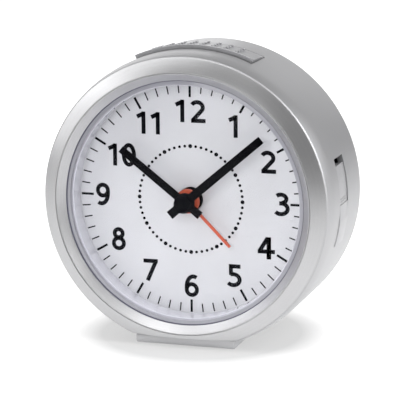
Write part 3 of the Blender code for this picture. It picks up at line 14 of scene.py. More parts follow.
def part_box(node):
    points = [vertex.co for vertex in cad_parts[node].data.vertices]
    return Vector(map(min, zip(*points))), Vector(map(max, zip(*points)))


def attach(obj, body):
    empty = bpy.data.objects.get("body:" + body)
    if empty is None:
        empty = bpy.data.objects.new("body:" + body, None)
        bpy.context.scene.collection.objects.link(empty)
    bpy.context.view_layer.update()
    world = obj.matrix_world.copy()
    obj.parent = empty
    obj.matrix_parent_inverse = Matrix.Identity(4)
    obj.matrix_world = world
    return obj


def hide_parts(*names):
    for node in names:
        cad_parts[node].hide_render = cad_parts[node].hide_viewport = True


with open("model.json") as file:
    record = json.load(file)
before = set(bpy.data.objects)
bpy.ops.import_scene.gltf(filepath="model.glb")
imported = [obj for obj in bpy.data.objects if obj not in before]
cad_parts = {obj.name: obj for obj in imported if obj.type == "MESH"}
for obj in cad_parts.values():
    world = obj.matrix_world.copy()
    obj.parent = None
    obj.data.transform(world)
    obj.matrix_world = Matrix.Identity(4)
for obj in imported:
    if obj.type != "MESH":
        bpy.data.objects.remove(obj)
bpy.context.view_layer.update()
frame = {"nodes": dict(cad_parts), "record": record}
DIAL_LOW, DIAL_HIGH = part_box("dial")
DIAL_Y = DIAL_LOW.y
AXIS_Z = (DIAL_LOW.z + DIAL_HIGH.z) / 2
CENTRE = Vector((0.0, DIAL_Y, AXIS_Z))

# Case, as the solids have it
DRUM = 0.0500             # radius of the drum
RIM = 0.0487              # radius inside its front and rear rims
INSIDE = 0.0480           # radius inside its wall
FLAT = 0.0453             # how far the flat lies below the axis
FLOOR = 0.0433            # the same for the floor's inner face
DRUM_REAR = -0.0330
WEB_FRONT = -0.0012       # the web behind the dial
WEB_BACK = -0.0030
COVER_SEAT = -0.0283      # the ledge that the rear cover lies on
SHOULDER = 0.0039         # where the front rim's wider bore begins
GAP = 0.0003              # play between fitted pieces
SLIT = 0.00004            # the fine gap between pieces that rest on each other
EASE = 0.0002             # rounding of plain edges
EDGE_MIDDLE = (0.04763, 0.00712)   # the round edge that drum and front ring share
EDGE_ROUND = 0.0015

# Front ring, lens and dial wall
CREST = 0.0440
CREST_TOP = 0.0112
LIP = 0.0412
LIP_TOP = 0.0083
LENS_RIM = 0.0080
FLANGE_BACK = 0.0069
WALL_FOOT = 0.0391

# Heights of the front and rear edges of the drum's two openings
SNOOZE_WINDOW = (-0.0032, -0.0194)
SIDE_WINDOW = (-0.0048, -0.0155)

# Clock angles round the drum
SNOOZE_HALF = 23.5        # half the bar's span
SNOOZE_PLAY = 0.46        # the window's play at each end of the bar
SIDE_WINDOW_SPAN = (72.7, 107.0)
SLIDER_SPAN = (75.6, 106.65)
RAISED_SPAN = (90.6, 106.65)
RIDGE_ANGLES = (88.6, 89.6)
BOSS_ANGLES = (48.0, 118.0, 242.0, 312.0)
BOSS_REACH = 0.0450
OUTSIDE = 0.06            # a radius beyond every piece

# How near points must be to be merged: in a line, in a solid and in the print
WELD_LINE = 1e-7
WELD = 1e-6
WELD_PRINT = 1e-8

# Degrees between hours and between minutes on the dial
HOUR = 30.0
MINUTE = 6.0


# Places

def at(across, up, height=0.0):
    """World place of a point on or in front of the dial."""
    return Vector((across, DIAL_Y - height, AXIS_Z + up))


def polar(radius, clock_angle):
    """How far across and up a point at a radius and a clock angle is."""
    angle = math.radians(clock_angle)
    return radius * math.sin(angle), radius * math.cos(angle)


def round_dial(radius, clock_angle, height=0.0):
    """World place of a point at a radius and a clock angle."""
    return at(*polar(radius, clock_angle), height)


def oval(middle, radii, start, end, steps):
    """Points on part of an oval about a middle, in even steps of its angle."""
    points = []
    for step in range(steps + 1):
        angle = math.radians(start + (end - start) * step / steps)
        points.append((middle[0] + radii[0] * math.cos(angle),
                       middle[1] + radii[1] * math.sin(angle)))
    return points


def arc(middle, radius, start, end, steps):
    """The same on part of a circle."""
    return oval(middle, (radius, radius), start, end, steps)


# Workbench: what is done by hand in the modelling window

def put_down():
    """Leaves nothing selected, so that an operator acts on the new primitive alone."""
    if bpy.context.object and bpy.context.object.mode != "OBJECT":
        bpy.ops.object.mode_set(mode="OBJECT")
    bpy.ops.object.select_all(action="DESELECT")


def pick_up(*pieces):
    """Selects these pieces alone, the first as the active one."""
    put_down()
    for piece in pieces:
        piece.select_set(True)
    bpy.context.view_layer.objects.active = pieces[0]


def called(name):
    """Names the primitive that was just added."""
    piece = bpy.context.object
    piece.name = name
    piece.data.name = name
    return piece


def edit(piece):
    """Opens a piece in edit mode, all of it selected."""
    pick_up(piece)
    bpy.ops.object.mode_set(mode="EDIT")
    bpy.ops.mesh.select_all(action="SELECT")


def done():
    """Closes edit mode."""
    bpy.ops.object.mode_set(mode="OBJECT")


def merge(threshold):
    """In edit mode: merges points that lie together and selects everything."""
    bpy.ops.mesh.select_all(action="SELECT")
    bpy.ops.mesh.remove_doubles(threshold=threshold)
    bpy.ops.mesh.select_all(action="SELECT")


def settle(piece, smooth=35.0):
    """Puts the place into the mesh and smooths all but the sharp edges."""
    pick_up(piece)
    bpy.ops.object.transform_apply(location=True, rotation=True, scale=True)
    bpy.ops.object.shade_smooth_by_angle(angle=math.radians(smooth))


def united(name, pieces):
    """Several pieces as one object."""
    pick_up(*pieces)
    bpy.ops.object.join()
    return called(name)


def one_point(name, place):
    """A piece that is a single point, left in edit mode."""
    put_down()
    bpy.ops.mesh.primitive_plane_add(size=0.001, location=place)
    piece = called(name)
    edit(piece)
    bpy.ops.mesh.merge(type="CENTER")
    return piece


def chain(points):
    """In edit mode on one point: draws the rest of a line of points."""
    for before, after in zip(points, points[1:]):
        bpy.ops.mesh.extrude_vertices_move(TRANSFORM_OT_translate={"value": after - before})


def lathe(name, profile, steps=192, start=0.0, sweep=360.0, centre=(0.0, 0.0)):
    """A profile of (radius, height) points, spun about the dial's axis or another beside it."""
    middle = at(*centre)
    points = [middle + round_dial(radius, start, height) - CENTRE for radius, height in profile]
    piece = one_point(name, points[0])
    if profile[0][0] > 0.0:
        points.append(points[0])
    chain(points)
    merge(WELD_LINE)
    bpy.ops.mesh.spin(steps=steps, angle=-math.radians(sweep), center=middle, axis=(0.0, 1.0, 0.0))
    merge(WELD)
    if sweep < 360.0:
        bpy.ops.mesh.fill_holes(sides=0)
        bpy.ops.mesh.select_all(action="SELECT")
    bpy.ops.mesh.normals_make_consistent(inside=False)
    done()
    return piece


def block(name, low, high, bevel=0.0, segments=3):
    """A box between two (across, up, height) corners, its edges rounded if a bevel is given."""
    one, other = at(*low), at(*high)
    size = [abs(other[i] - one[i]) for i in range(3)]
    put_down()
    bpy.ops.mesh.primitive_cube_add(size=1.0, location=(one + other) / 2, scale=size)
    piece = called(name)
    bpy.ops.object.transform_apply(location=True, rotation=True, scale=True)
    if bevel:
        edit(piece)
        bpy.ops.mesh.bevel(offset=bevel, segments=segments, affect="EDGES", clamp_overlap=True)
        done()
    return piece


def rod(name, radius, start, end, steps=32, bevel=0.0):
    """A round bar between two world points."""
    along = end - start
    put_down()
    bpy.ops.mesh.primitive_cylinder_add(
        vertices=steps, radius=radius, depth=along.length, location=(start + end) / 2,
        rotation=along.to_track_quat("Z", "Y").to_euler())
    piece = called(name)
    bpy.ops.object.transform_apply(location=True, rotation=True, scale=True)
    if bevel:
        soften(piece, bevel)
    return piece


def modify(piece, kind, **values):
    """Adds one modifier and applies it."""
    pick_up(piece)
    modifier = piece.modifiers.new(kind.lower(), kind)
    for name, value in values.items():
        setattr(modifier, name, value)
    bpy.ops.object.modifier_apply(modifier=modifier.name)


def carve(piece, tool, operation="DIFFERENCE"):
    """Cuts a tool out of a piece, or joins or intersects it with the piece, and takes it away."""
    modify(piece, "BOOLEAN", operation=operation, solver="EXACT", object=tool)
    bpy.data.objects.remove(tool, do_unlink=True)


def soften(piece, width, segments=3, angle=40.0):
    """Rounds the sharp edges."""
    modify(piece, "BEVEL", width=width, segments=segments, limit_method="ANGLE",
           angle_limit=math.radians(angle), harden_normals=False)


def ease(piece, width):
    """Rounds the corners of a fine part and leaves its curved faces alone."""
    soften(piece, width, segments=2, angle=50.0)


def repeat_round(piece, count, step, centre=(0.0, 0.0)):
    """In one go, the piece count times round the dial or another axis, a step of degrees apart."""
    edit(piece)
    bpy.ops.mesh.spin(steps=count - 1, dupli=True, angle=-math.radians(step * (count - 1)),
                      center=at(*centre), axis=(0.0, 1.0, 0.0))
    done()
    return piece


def turn_to(clock_angle):
    """In edit mode: turns what is selected about the dial's axis."""
    bpy.ops.transform.rotate(value=-math.radians(clock_angle), orient_axis="Y",
                             center_override=CENTRE)


def sector(name, inner, outer, front, rear, start, end, steps=64):
    """A tool or a piece between two radii, two heights and two clock angles."""
    return lathe(name, [(outer, front), (outer, rear), (inner, rear), (inner, front)],
                 steps, start, end - start)


def below(name, drop, front=0.03):
    """A tool for all that lies further below the axis than a drop, and behind a front height."""
    reach, rear = 0.08, -0.05
    return block(name, (-reach, -reach, rear), (reach, -drop, front))


def dressed(piece, finish, body, node=None):
    """Gives a piece its finish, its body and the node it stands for."""
    piece.data.materials.clear()
    piece.data.materials.append(finish)
    settle(piece)
    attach(piece, body)
    if node:
        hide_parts(node)


# Finishes: nodes, and the effects that several of them share

def wire(tree, made, inputs):
    """Fills a node's inputs, each with a value or with another node's output."""
    for key, value in inputs.items():
        socket = made.inputs[key]
        if isinstance(value, bpy.types.NodeSocket):
            tree.links.new(value, socket)
        else:
            socket.default_value = value


def node(tree, kind, inputs=None, **settings):
    """A node with its settings and its inputs."""
    made = tree.nodes.new(kind)
    for name, value in settings.items():
        setattr(made, name, value)
    wire(tree, made, inputs or {})
    return made


def calc(tree, operation, *values):
    """The result of a sum with up to three values."""
    return node(tree, "ShaderNodeMath", dict(enumerate(values)), operation=operation).outputs[0]


def scaled(tree, colour, factor):
    """A colour, lighter or darker by a factor."""
    return node(tree, "ShaderNodeVectorMath", {0: colour, 3: factor}, operation="SCALE").outputs[0]


def about_one(tree, noise, swing):
    """A noise of nought to one as a factor that swings about one."""
    return calc(tree, "MULTIPLY_ADD", noise, swing, 1.0 - swing / 2)


def place_on_piece(tree):
    """The point's own place, from which every texture is worked out."""
    return node(tree, "ShaderNodeTexCoord").outputs["Object"]


# Outputs of the groups that give a whole finish
FINISH_OUTPUTS = [("Colour", "NodeSocketColor"), ("Roughness", "NodeSocketFloat"),
                  ("Height", "NodeSocketFloat")]


def group(name, inputs, outputs):
    """An empty shader group with named sockets; gives the tree, its inputs and its outputs."""
    tree = bpy.data.node_groups.new(name, "ShaderNodeTree")
    for word, kind, value in inputs:
        socket = tree.interface.new_socket(name=word, in_out="INPUT", socket_type=kind)
        socket.default_value = value
    for word, kind in outputs:
        tree.interface.new_socket(name=word, in_out="OUTPUT", socket_type=kind)
    return tree, tree.nodes.new("NodeGroupInput"), tree.nodes.new("NodeGroupOutput")


def sprayed_group():
    """Sprayed paint: a fine flake, a slow cloud and the orange peel under them."""
    tree, given, result = group("sprayed paint", [
        ("Colour", "NodeSocketColor", (0.6, 0.6, 0.6, 1.0)), ("Roughness", "NodeSocketFloat", 0.4),
        ("Flake", "NodeSocketFloat", 0.06),
    ], FINISH_OUTPUTS)
    place = place_on_piece(tree)
    flake = node(tree, "ShaderNodeTexVoronoi", {"Vector": place, "Scale": 5200.0})
    cloud = node(tree, "ShaderNodeTexNoise", {"Vector": place, "Scale": 45.0, "Detail": 3.0})
    peel = node(tree, "ShaderNodeTexNoise", {"Vector": place, "Scale": 900.0, "Detail": 1.0})
    tone = node(tree, "ShaderNodeSeparateColor", {"Color": flake.outputs["Color"]})
    centred = calc(tree, "SUBTRACT", tone.outputs["Red"], 0.5)
    spread = calc(tree, "MULTIPLY", centred, given.outputs["Flake"])
    gain = calc(tree, "ADD", spread, about_one(tree, cloud.outputs["Fac"], swing=0.05))
    wire(tree, result, {
        "Colour": scaled(tree, given.outputs["Colour"], gain),
        "Roughness": calc(tree, "MULTIPLY_ADD", spread, 0.5, given.outputs["Roughness"]),
        "Height": calc(tree, "ADD", spread, peel.outputs["Fac"])})
    return tree


def turned_lines_group():
    """The fine rings a lathe tool leaves, by the distance from the dial's axis."""
    tree, given, result = group("turned lines", [
        ("Pitch", "NodeSocketFloat", 4000.0), ("Amount", "NodeSocketFloat", 0.1),
    ], [("Tone", "NodeSocketFloat"), ("Height", "NodeSocketFloat")])
    parts = node(tree, "ShaderNodeSeparateXYZ", {0: place_on_piece(tree)})
    up = calc(tree, "SUBTRACT", parts.outputs["Z"], AXIS_Z)
    flat = node(tree, "ShaderNodeCombineXYZ", {"X": parts.outputs["X"], "Z": up})
    reach = node(tree, "ShaderNodeVectorMath", {0: flat.outputs[0]}, operation="LENGTH")
    fine = calc(tree, "MULTIPLY", reach.outputs["Value"], given.outputs["Pitch"])
    lines = node(tree, "ShaderNodeTexNoise", {"W": fine, "Scale": 1.0, "Detail": 3.0},
                 noise_dimensions="1D")
    centred = calc(tree, "SUBTRACT", lines.outputs["Fac"], 0.5)
    wire(tree, result, {
        "Tone": calc(tree, "MULTIPLY_ADD", centred, given.outputs["Amount"], 1.0),
        "Height": lines.outputs["Fac"]})
    return tree


def moulded_group():
    """Moulded plastic: a spark-eroded texture, with a slow change of tone."""
    tree, given, result = group("moulded plastic", [
        ("Colour", "NodeSocketColor", (0.1, 0.1, 0.1, 1.0)), ("Roughness", "NodeSocketFloat", 0.5),
        ("Scale", "NodeSocketFloat", 2600.0),
    ], FINISH_OUTPUTS)
    place = place_on_piece(tree)
    grain = node(tree, "ShaderNodeTexNoise",
                 {"Vector": place, "Scale": given.outputs["Scale"], "Detail": 2.0})
    cloud = node(tree, "ShaderNodeTexNoise", {"Vector": place, "Scale": 60.0, "Detail": 2.0})
    gain = about_one(tree, cloud.outputs["Fac"], swing=0.12)
    shift = calc(tree, "SUBTRACT", grain.outputs["Fac"], 0.5)
    wire(tree, result, {
        "Colour": scaled(tree, given.outputs["Colour"], gain),
        "Roughness": calc(tree, "MULTIPLY_ADD", shift, 0.2, given.outputs["Roughness"]),
        "Height": grain.outputs["Fac"]})
    return tree


SPRAYED = sprayed_group()
LINES = turned_lines_group()
MOULDED = moulded_group()


# Finishes: the materials

PEEL_DEPTH = 0.00001


def shader(name):
    """A new material with its Principled shader."""
    material = bpy.data.materials.new(name)
    material.use_nodes = True
    tree = material.node_tree
    return material, tree, tree.nodes["Principled BSDF"]


def relief(tree, height, depth):
    """The normal of a surface with a height map on it."""
    return node(tree, "ShaderNodeBump", {"Height": height, "Distance": depth}).outputs["Normal"]


def painted(name, colour, roughness, metallic, flake=0.06, lines=None):
    """Metallic paint sprayed over plastic, or over fine turned lines of an amount and a depth."""
    material, tree, surface = shader(name)
    paint = node(tree, "ShaderNodeGroup", {"Colour": (*colour, 1.0), "Roughness": roughness,
                                           "Flake": flake}, node_tree=SPRAYED)
    tone, height, depth = paint.outputs["Colour"], paint.outputs["Height"], PEEL_DEPTH
    if lines:
        amount, depth = lines
        rings = node(tree, "ShaderNodeGroup", {"Amount": amount}, node_tree=LINES)
        tone, height = scaled(tree, tone, rings.outputs["Tone"]), rings.outputs["Height"]
    wire(tree, surface, {"Base Color": tone, "Roughness": paint.outputs["Roughness"],
                         "Metallic": metallic, "Normal": relief(tree, height, depth)})
    return material


def plastic(name, colour, roughness, metallic=0.0, depth=0.000012, coat=0.0, scale=2600.0,
            shine=0.5):
    """Moulded plastic, or cast and rolled metal where metallic is 1."""
    material, tree, surface = shader(name)
    mould = node(tree, "ShaderNodeGroup", {"Colour": (*colour, 1.0), "Roughness": roughness,
                                           "Scale": scale}, node_tree=MOULDED)
    wire(tree, surface, {
        "Base Color": mould.outputs["Colour"], "Roughness": mould.outputs["Roughness"],
        "Normal": relief(tree, mould.outputs["Height"], depth), "Metallic": metallic,
        "Coat Weight": coat, "Specular IOR Level": shine})
    return material


def clear_plastic():
    """The lens: clear, a little violet where it is seen edge on, and let through by shadows."""
    face_on, edge_on = (0.985, 0.985, 1.0, 1.0), (0.72, 0.72, 0.88, 1.0)
    shadow = (0.97, 0.97, 0.99, 1.0)
    material, tree, surface = shader("clear lens")
    facing = node(tree, "ShaderNodeLayerWeight", {"Blend": 0.35})
    tint = node(tree, "ShaderNodeMix", {0: facing.outputs["Facing"], 6: face_on, 7: edge_on},
                data_type="RGBA")
    wire(tree, surface, {"Base Color": tint.outputs[2], "Roughness": 0.02, "IOR": 1.12,
                         "Transmission Weight": 1.0, "Specular IOR Level": 0.2})
    through = node(tree, "ShaderNodeBsdfTransparent", {"Color": shadow})
    path = node(tree, "ShaderNodeLightPath")
    mixed = node(tree, "ShaderNodeMixShader", {0: path.outputs["Is Shadow Ray"],
                                               1: surface.outputs[0], 2: through.outputs[0]})
    wire(tree, tree.nodes["Material Output"], {"Surface": mixed.outputs[0]})
    return material


SILVER = painted("silver paint", (0.434, 0.434, 0.445), 0.42, 0.65)
FOOT_SILVER = painted("foot silver", (0.450, 0.450, 0.461), 0.42, 0.60)
RING_SILVER = painted("turned silver ring", (0.462, 0.462, 0.470), 0.34, 0.80, flake=0.05,
                      lines=(0.12, 0.000006))
BAR_SILVER = painted("snooze bar silver", (0.390, 0.390, 0.402), 0.42, 0.65)
SLIDE_SILVER = painted("slide silver", (0.46, 0.46, 0.473), 0.42, 0.55)
LENS = clear_plastic()
WALL_GLOSS = plastic("glossy dial wall", (0.66, 0.66, 0.68), 0.07, depth=0.000001, coat=1.0)
DIAL_WHITE = plastic("dial white", (0.645, 0.650, 0.646), 0.55, depth=0.000003, scale=5000.0)
# Painted shade: a dark tone for the shadowed gaps round the lens
PAINTED_GAP_SHADE = plastic("lens gap shade", (0.130, 0.130, 0.175), 0.35)
BORDER = plastic("lens border", (0.46, 0.46, 0.515), 0.16, depth=0.000001, coat=0.5)
INK = plastic("printed black", (0.004, 0.004, 0.006), 0.70, depth=0.000002, shine=0.06)
HAND_BLACK = plastic("hand black", (0.002, 0.002, 0.003), 0.60, depth=0.000003, shine=0.03)
CAP_BLACK = plastic("cap black", (0.001, 0.001, 0.002), 0.12, depth=0.000001, shine=0.02)
ORANGE = plastic("alarm hand orange", (0.53, 0.078, 0.028), 0.42, depth=0.000002)
DARK = plastic("dark cover plastic", (0.055, 0.056, 0.060), 0.52, depth=0.000020, scale=1900.0)
DARK_FINE = plastic("dark inner plastic", (0.035, 0.035, 0.038), 0.45)
PALE = plastic("pale gear plastic", (0.72, 0.71, 0.67), 0.42)
BUTTON = plastic("button grey", (0.40, 0.41, 0.43), 0.45)
STEEL = plastic("bright steel", (0.62, 0.62, 0.63), 0.24, metallic=1.0, depth=0.000004)
COPPER = plastic("enamelled copper", (0.52, 0.20, 0.08), 0.34, metallic=0.9, depth=0.000006,
                 coat=0.4)
FERRITE = plastic("ferrite", (0.050, 0.048, 0.052), 0.62, depth=0.00003)
BOARD = plastic("board green", (0.020, 0.130, 0.055), 0.36, depth=0.000006, coat=0.4)
SLEEVE = plastic("battery sleeve", (0.030, 0.140, 0.100), 0.30, metallic=0.2, depth=0.000004,
                 coat=0.5)


# Case

def drum_shell():
    """The drum before it is cut: rounded rim, wall, ledge for the cover and web behind the dial."""
    rear_round = 0.0004
    outline = arc(EDGE_MIDDLE, EDGE_ROUND, 44.7, 12, 6)
    outline += [(0.04938, 0.0061), (0.04964, 0.0046), (0.04986, 0.0028), (DRUM, 0.0008)]
    outline += arc((DRUM - rear_round, DRUM_REAR + rear_round), rear_round, 0, -90, 5)
    outline += [(RIM, DRUM_REAR), (RIM, COVER_SEAT), (INSIDE, COVER_SEAT), (INSIDE, WEB_BACK),
                (0.0, WEB_BACK), (0.0, WEB_FRONT), (INSIDE, WEB_FRONT), (INSIDE, SHOULDER),
                (RIM, SHOULDER)]
    return lathe("housing_shell", outline, 240)


def make_drum():
    """The drum, cut flat, with its openings, bosses, shelves and hinge brackets."""
    shell = drum_shell()
    reach, rear = DRUM - 0.0005, -0.0325
    filling = lathe("flat floor", [(0.0, 0.0), (reach, 0.0), (reach, rear), (0.0, rear)], 96)
    carve(shell, below("flat", FLAT))
    floor = block("floor plate", (-0.0215, -FLAT, -0.0327), (0.0215, -FLOOR, 0.0080))
    carve(floor, filling, operation="INTERSECT")
    carve(floor, block("floor front", (-0.03, -0.05, WEB_BACK), (0.03, -0.04, 0.02)))
    carve(shell, block("movement window", (-0.021 - GAP, -0.0175 - GAP, -0.006),
                       (0.021 + GAP, 0.020 + GAP, 0.0)))
    half = SNOOZE_HALF + SNOOZE_PLAY
    carve(shell, sector("snooze window", INSIDE - GAP, OUTSIDE, *SNOOZE_WINDOW, -half, half))
    carve(shell, sector("side window", INSIDE - GAP, OUTSIDE, *SIDE_WINDOW, *SIDE_WINDOW_SPAN))

    fittings = [shell, floor]
    bore, wall = 0.00125, 0.0032
    boss = [(bore, WEB_BACK), (wall, WEB_BACK), (wall, COVER_SEAT), (bore, COVER_SEAT)]
    for angle in BOSS_ANGLES:
        fittings.append(lathe("boss", boss, 40, centre=polar(BOSS_REACH, angle)))
    fittings.append(block("snooze shelf", (-0.0135, 0.0366, -0.0130), (0.0050, 0.0382, WEB_BACK),
                          EASE))
    for side in (-1, 1):
        across = side * 0.0162
        fittings.append(block("bracket", (across - 0.001, 0.0405, -0.0220),
                              (across + 0.001, 0.0462, -0.0154), EASE))
    fittings.append(block("switch shelf", (0.0362, -0.0055, -0.0052), (0.0422, 0.0055, WEB_BACK),
                          EASE))
    dressed(united("housing_drum", fittings), SILVER, "case", "housing")


def make_foot():
    """The block under the flat, its edges eased, with its two pegs."""
    low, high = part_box("foot")
    half = high.x
    top = -FLAT - SLIT
    foot = block("foot_block", (-half, low.z - AXIS_Z, DIAL_Y - high.y),
                 (half, top, DIAL_Y - low.y), bevel=0.0006, segments=4)
    pegs = [rod("peg", 0.0020, at(0.0, top - 0.0005, height), at(0.0, -FLOOR - GAP, height),
                40, EASE) for height in (-0.0050, -0.0220)]
    dressed(united("foot_block", [foot] + pegs), FOOT_SILVER, "case", "foot")


def make_bezel():
    """The front ring: funnel, crest with its groove, slope and the skirt inside the drum's rim."""
    groove = CREST_TOP - 0.00050
    outer, inner, skirt = RIM - SLIT, RIM - SLIT - 0.0012, 0.0042
    profile = [(LIP, LIP_TOP), (LIP, LIP_TOP + 0.0003)]
    profile += arc((CREST - 0.00032, CREST_TOP - 0.0002), 0.0002, 150, 62, 5)
    profile += [(CREST - 0.00020, groove), (CREST, groove)]
    profile += arc((CREST + 0.00014, CREST_TOP - 0.00018), 0.00016, 150, 58, 4)
    profile += arc(EDGE_MIDDLE, EDGE_ROUND, 60, 46.8, 3)
    profile += [(outer, skirt), (inner, skirt), (inner, 0.00675),
                (CREST + 0.00075, LIP_TOP + 0.00075), (LIP + 0.0019, LIP_TOP)]
    bezel = lathe("bezel_ring", profile, 288)
    carve(bezel, below("bezel flat", FLAT))
    carve(bezel, below("skirt floor", FLOOR - GAP, front=0.00805))
    dressed(bezel, RING_SILVER, "case", "bezel")


def lens_height(crown, reach):
    """Height of a dome with this crown at a distance from the axis."""
    rim = LIP - GAP
    rise = CREST_TOP - LENS_RIM
    sphere = (rim * rim + rise * rise) / (2 * rise)
    return crown - sphere + math.sqrt(sphere * sphere - reach * reach)


def make_lens():
    """The clear dome and its flange."""
    rim = LIP - GAP
    inner, flange = rim - 0.0003, rim + 0.0016
    thick = 0.0012
    steps = 24
    profile = [(rim * n / steps, lens_height(CREST_TOP, rim * n / steps)) for n in range(steps + 1)]
    profile += [(flange, LENS_RIM), (flange, FLANGE_BACK), (inner, FLANGE_BACK)]
    profile += [(inner * n / steps, lens_height(CREST_TOP - thick, inner * n / steps))
                for n in range(steps, -1, -1)]
    dressed(lathe("lens_dome", profile), LENS, "case", "lens")


def make_seal():
    """Dark rings of painted shade round the lens: in the gap under the ring's lip, and under the
    flange.
    """
    outer, inner = LIP - 0.00002, LIP - GAP + 0.00002
    gap_shade = lathe("lens_gap_shade", [(outer, 0.0086), (outer, 0.0079), (inner, 0.0079), (inner, 0.0081),
                               (outer - 0.00012, 0.0083)], 240)
    low, high, rim = 0.00664, 0.00687, 0.0423
    flange_shade = lathe("flange_shade", [(0.04082, low), (0.04088, high), (rim, high), (rim, low)], 240)
    dressed(united("lens_gap_shade", [gap_shade, flange_shade]), PAINTED_GAP_SHADE, "case")


def make_border():
    """A grey ring on the front of the lens at its rim, thinner towards its inner edge, for the grey
    band seen at the lens's edge.
    """
    inner, outer = 0.03975, LIP - GAP - 0.00001
    thin, thick, sunk = 0.00001, 0.00004, 0.00002
    face = [(reach, lens_height(CREST_TOP, reach) + lift)
            for reach, lift in ((inner, thin), (inner + 0.00050, thick), (outer, thick))]
    under = [(reach, lens_height(CREST_TOP, reach) - sunk) for reach in (outer, inner)]
    dressed(lathe("lens_border", face + under, 240), BORDER, "case")


def make_dial_wall():
    """The glossy wall from the dial up to the lens, with its flange and rim round the dial."""
    top, shelf, foot, lift = 0.0066, LIP + 0.0011, WALL_FOOT, 0.00003
    plate, rim_inside, rim_outside = 0.0014, 0.0464, 0.0477
    profile = arc((foot + 0.00045, top - 0.0004), 0.0004, 180, 90, 6)
    profile += [(shelf, top), (shelf, top - 0.0011), (foot + 0.0012, top - 0.0011),
                (foot + 0.0011, plate), (rim_inside, plate), (rim_inside, SHOULDER),
                (rim_outside, SHOULDER), (rim_outside, GAP), (foot + 0.0008, GAP),
                (foot + 0.0008, lift), (foot, lift)]
    wall = lathe("dial_wall", profile, 240)
    carve(wall, below("wall floor", FLOOR - GAP))
    dressed(wall, WALL_GLOSS, "case", "dial_ring")


# Dial and its print

PRINT_HEIGHT = 0.00003
MARKS_END = 0.0387
DOT_REACH = 0.0180
NUMERAL_HEIGHT = 0.0075
# Stroke width, the space between two figures of a number, and how tall round figures are drawn,
# all as shares of the numerals' height
STROKE = 0.187
FIGURE_SPACE = {10: 0.24, 11: 0.27, 12: 0.32}
ROUND_FIGURES = "035689"
OVERSHOOT = 1.03
NUMERAL_MIDDLE = {
    1: (0.0148, 0.0253), 2: (0.0269, 0.0139), 3: (0.0315, 0.0000), 4: (0.0261, -0.0150),
    5: (0.0150, -0.0252), 6: (0.0001, -0.0296), 7: (-0.0144, -0.0252), 8: (-0.0257, -0.0150),
    9: (-0.0311, 0.0001), 10: (-0.0241, 0.0140), 11: (-0.0147, 0.0252), 12: (0.0001, 0.0297)}


def make_dial():
    """The dial plate with the bush's hole."""
    hole, edge, back = 0.0043, 0.0425, -0.0009
    plate = lathe("dial_plate", [(hole, 0.0), (edge, 0.0), (edge, back), (hole, back)])
    dressed(plate, DIAL_WHITE, "case", "dial")


def bar_at(name, width, inner, clock_angle):
    """One printed bar along a radius, out to where all of them end."""
    bar = block(name, (-width / 2, inner, 0.0), (width / 2, MARKS_END, PRINT_HEIGHT))
    edit(bar)
    turn_to(clock_angle)
    done()
    return bar


def dot_at(name, radius, steps, clock_angle):
    """One printed dot on the inner circle."""
    return lathe(name, [(0.0, 0.0), (radius, 0.0), (radius, PRINT_HEIGHT), (0.0, PRINT_HEIGHT)],
                 steps, centre=polar(DOT_REACH, clock_angle))


def all_minutes(mark):
    """Repeats the first minute's mark for every minute but the hours'."""
    repeat_round(mark, 4, MINUTE)
    return repeat_round(mark, 12, HOUR)


def make_ticks():
    """The minute track: a fine bar for each minute and a bolder one for each hour."""
    fine = all_minutes(bar_at("minute_marks", width=0.00043, inner=0.0358, clock_angle=MINUTE))
    bold = repeat_round(bar_at("hour_marks", width=0.00080, inner=0.0344, clock_angle=0.0),
                        12, HOUR)
    dressed(united("dial_marks", [fine, bold]), INK, "case")


def make_dots():
    """The inner circle: a small dot for each minute and a larger one for each hour."""
    small = all_minutes(dot_at("small_dots", radius=0.00049, steps=20, clock_angle=MINUTE))
    large = repeat_round(dot_at("large_dots", radius=0.00068, steps=24, clock_angle=0.0), 12, HOUR)
    dressed(united("dial_dots", [small, large]), INK, "case")


# Each figure's width and the lines of its strokes, as shares of the numerals' height
FIGURES = {
    "0": (0.66, [oval((0.33, 0.5), (0.244, 0.432), 0, 360, 40)]),
    "1": (0.40, [[(0.314, 0.0), (0.314, 1.0)], [(0.345, 0.925), (0.01, 0.765)]]),
    "2": (0.67, [oval((0.280, 0.685), (0.265, 0.231), 152, -30, 24) + [(0.085, 0.11)],
                 [(0.0, 0.086), (0.67, 0.086)]]),
    "3": (0.64, [oval((0.245, 0.745), (0.250, 0.181), 140, -78, 22),
                 [(0.17, 0.545), (0.32, 0.545)],
                 oval((0.245, 0.315), (0.309, 0.237), 78, -142, 24)]),
    "4": (0.79, [[(0.462, 0.972), (0.074, 0.345)], [(0.0, 0.345), (0.79, 0.345)],
                 [(0.500, 0.0), (0.500, 1.0)], [(0.524, 0.0), (0.524, 1.0)]]),
    "5": (0.62, [[(0.045, 0.914), (0.575, 0.914)], [(0.125, 1.0), (0.135, 0.52)],
                 oval((0.235, 0.322), (0.299, 0.244), 116, -142, 24)]),
    "6": (0.65, [oval((0.40, 0.45), (0.315, 0.466), 62, 180, 20) + [(0.085, 0.33)],
                 arc((0.325, 0.325), 0.240, 0, 360, 36)]),
    "7": (0.68, [[(0.0, 0.914), (0.68, 0.914)], [(0.600, 0.93), (0.19, 0.0)]]),
    "8": (0.65, [oval((0.325, 0.745), (0.190, 0.181), 0, 360, 36),
                 oval((0.325, 0.303), (0.240, 0.228), 0, 360, 36)]),
    "9": (0.65, [[(0.565, 0.67)] + oval((0.25, 0.55), (0.315, 0.466), 0, -118, 20),
                 arc((0.325, 0.675), 0.240, 0, 360, 36)]),
}


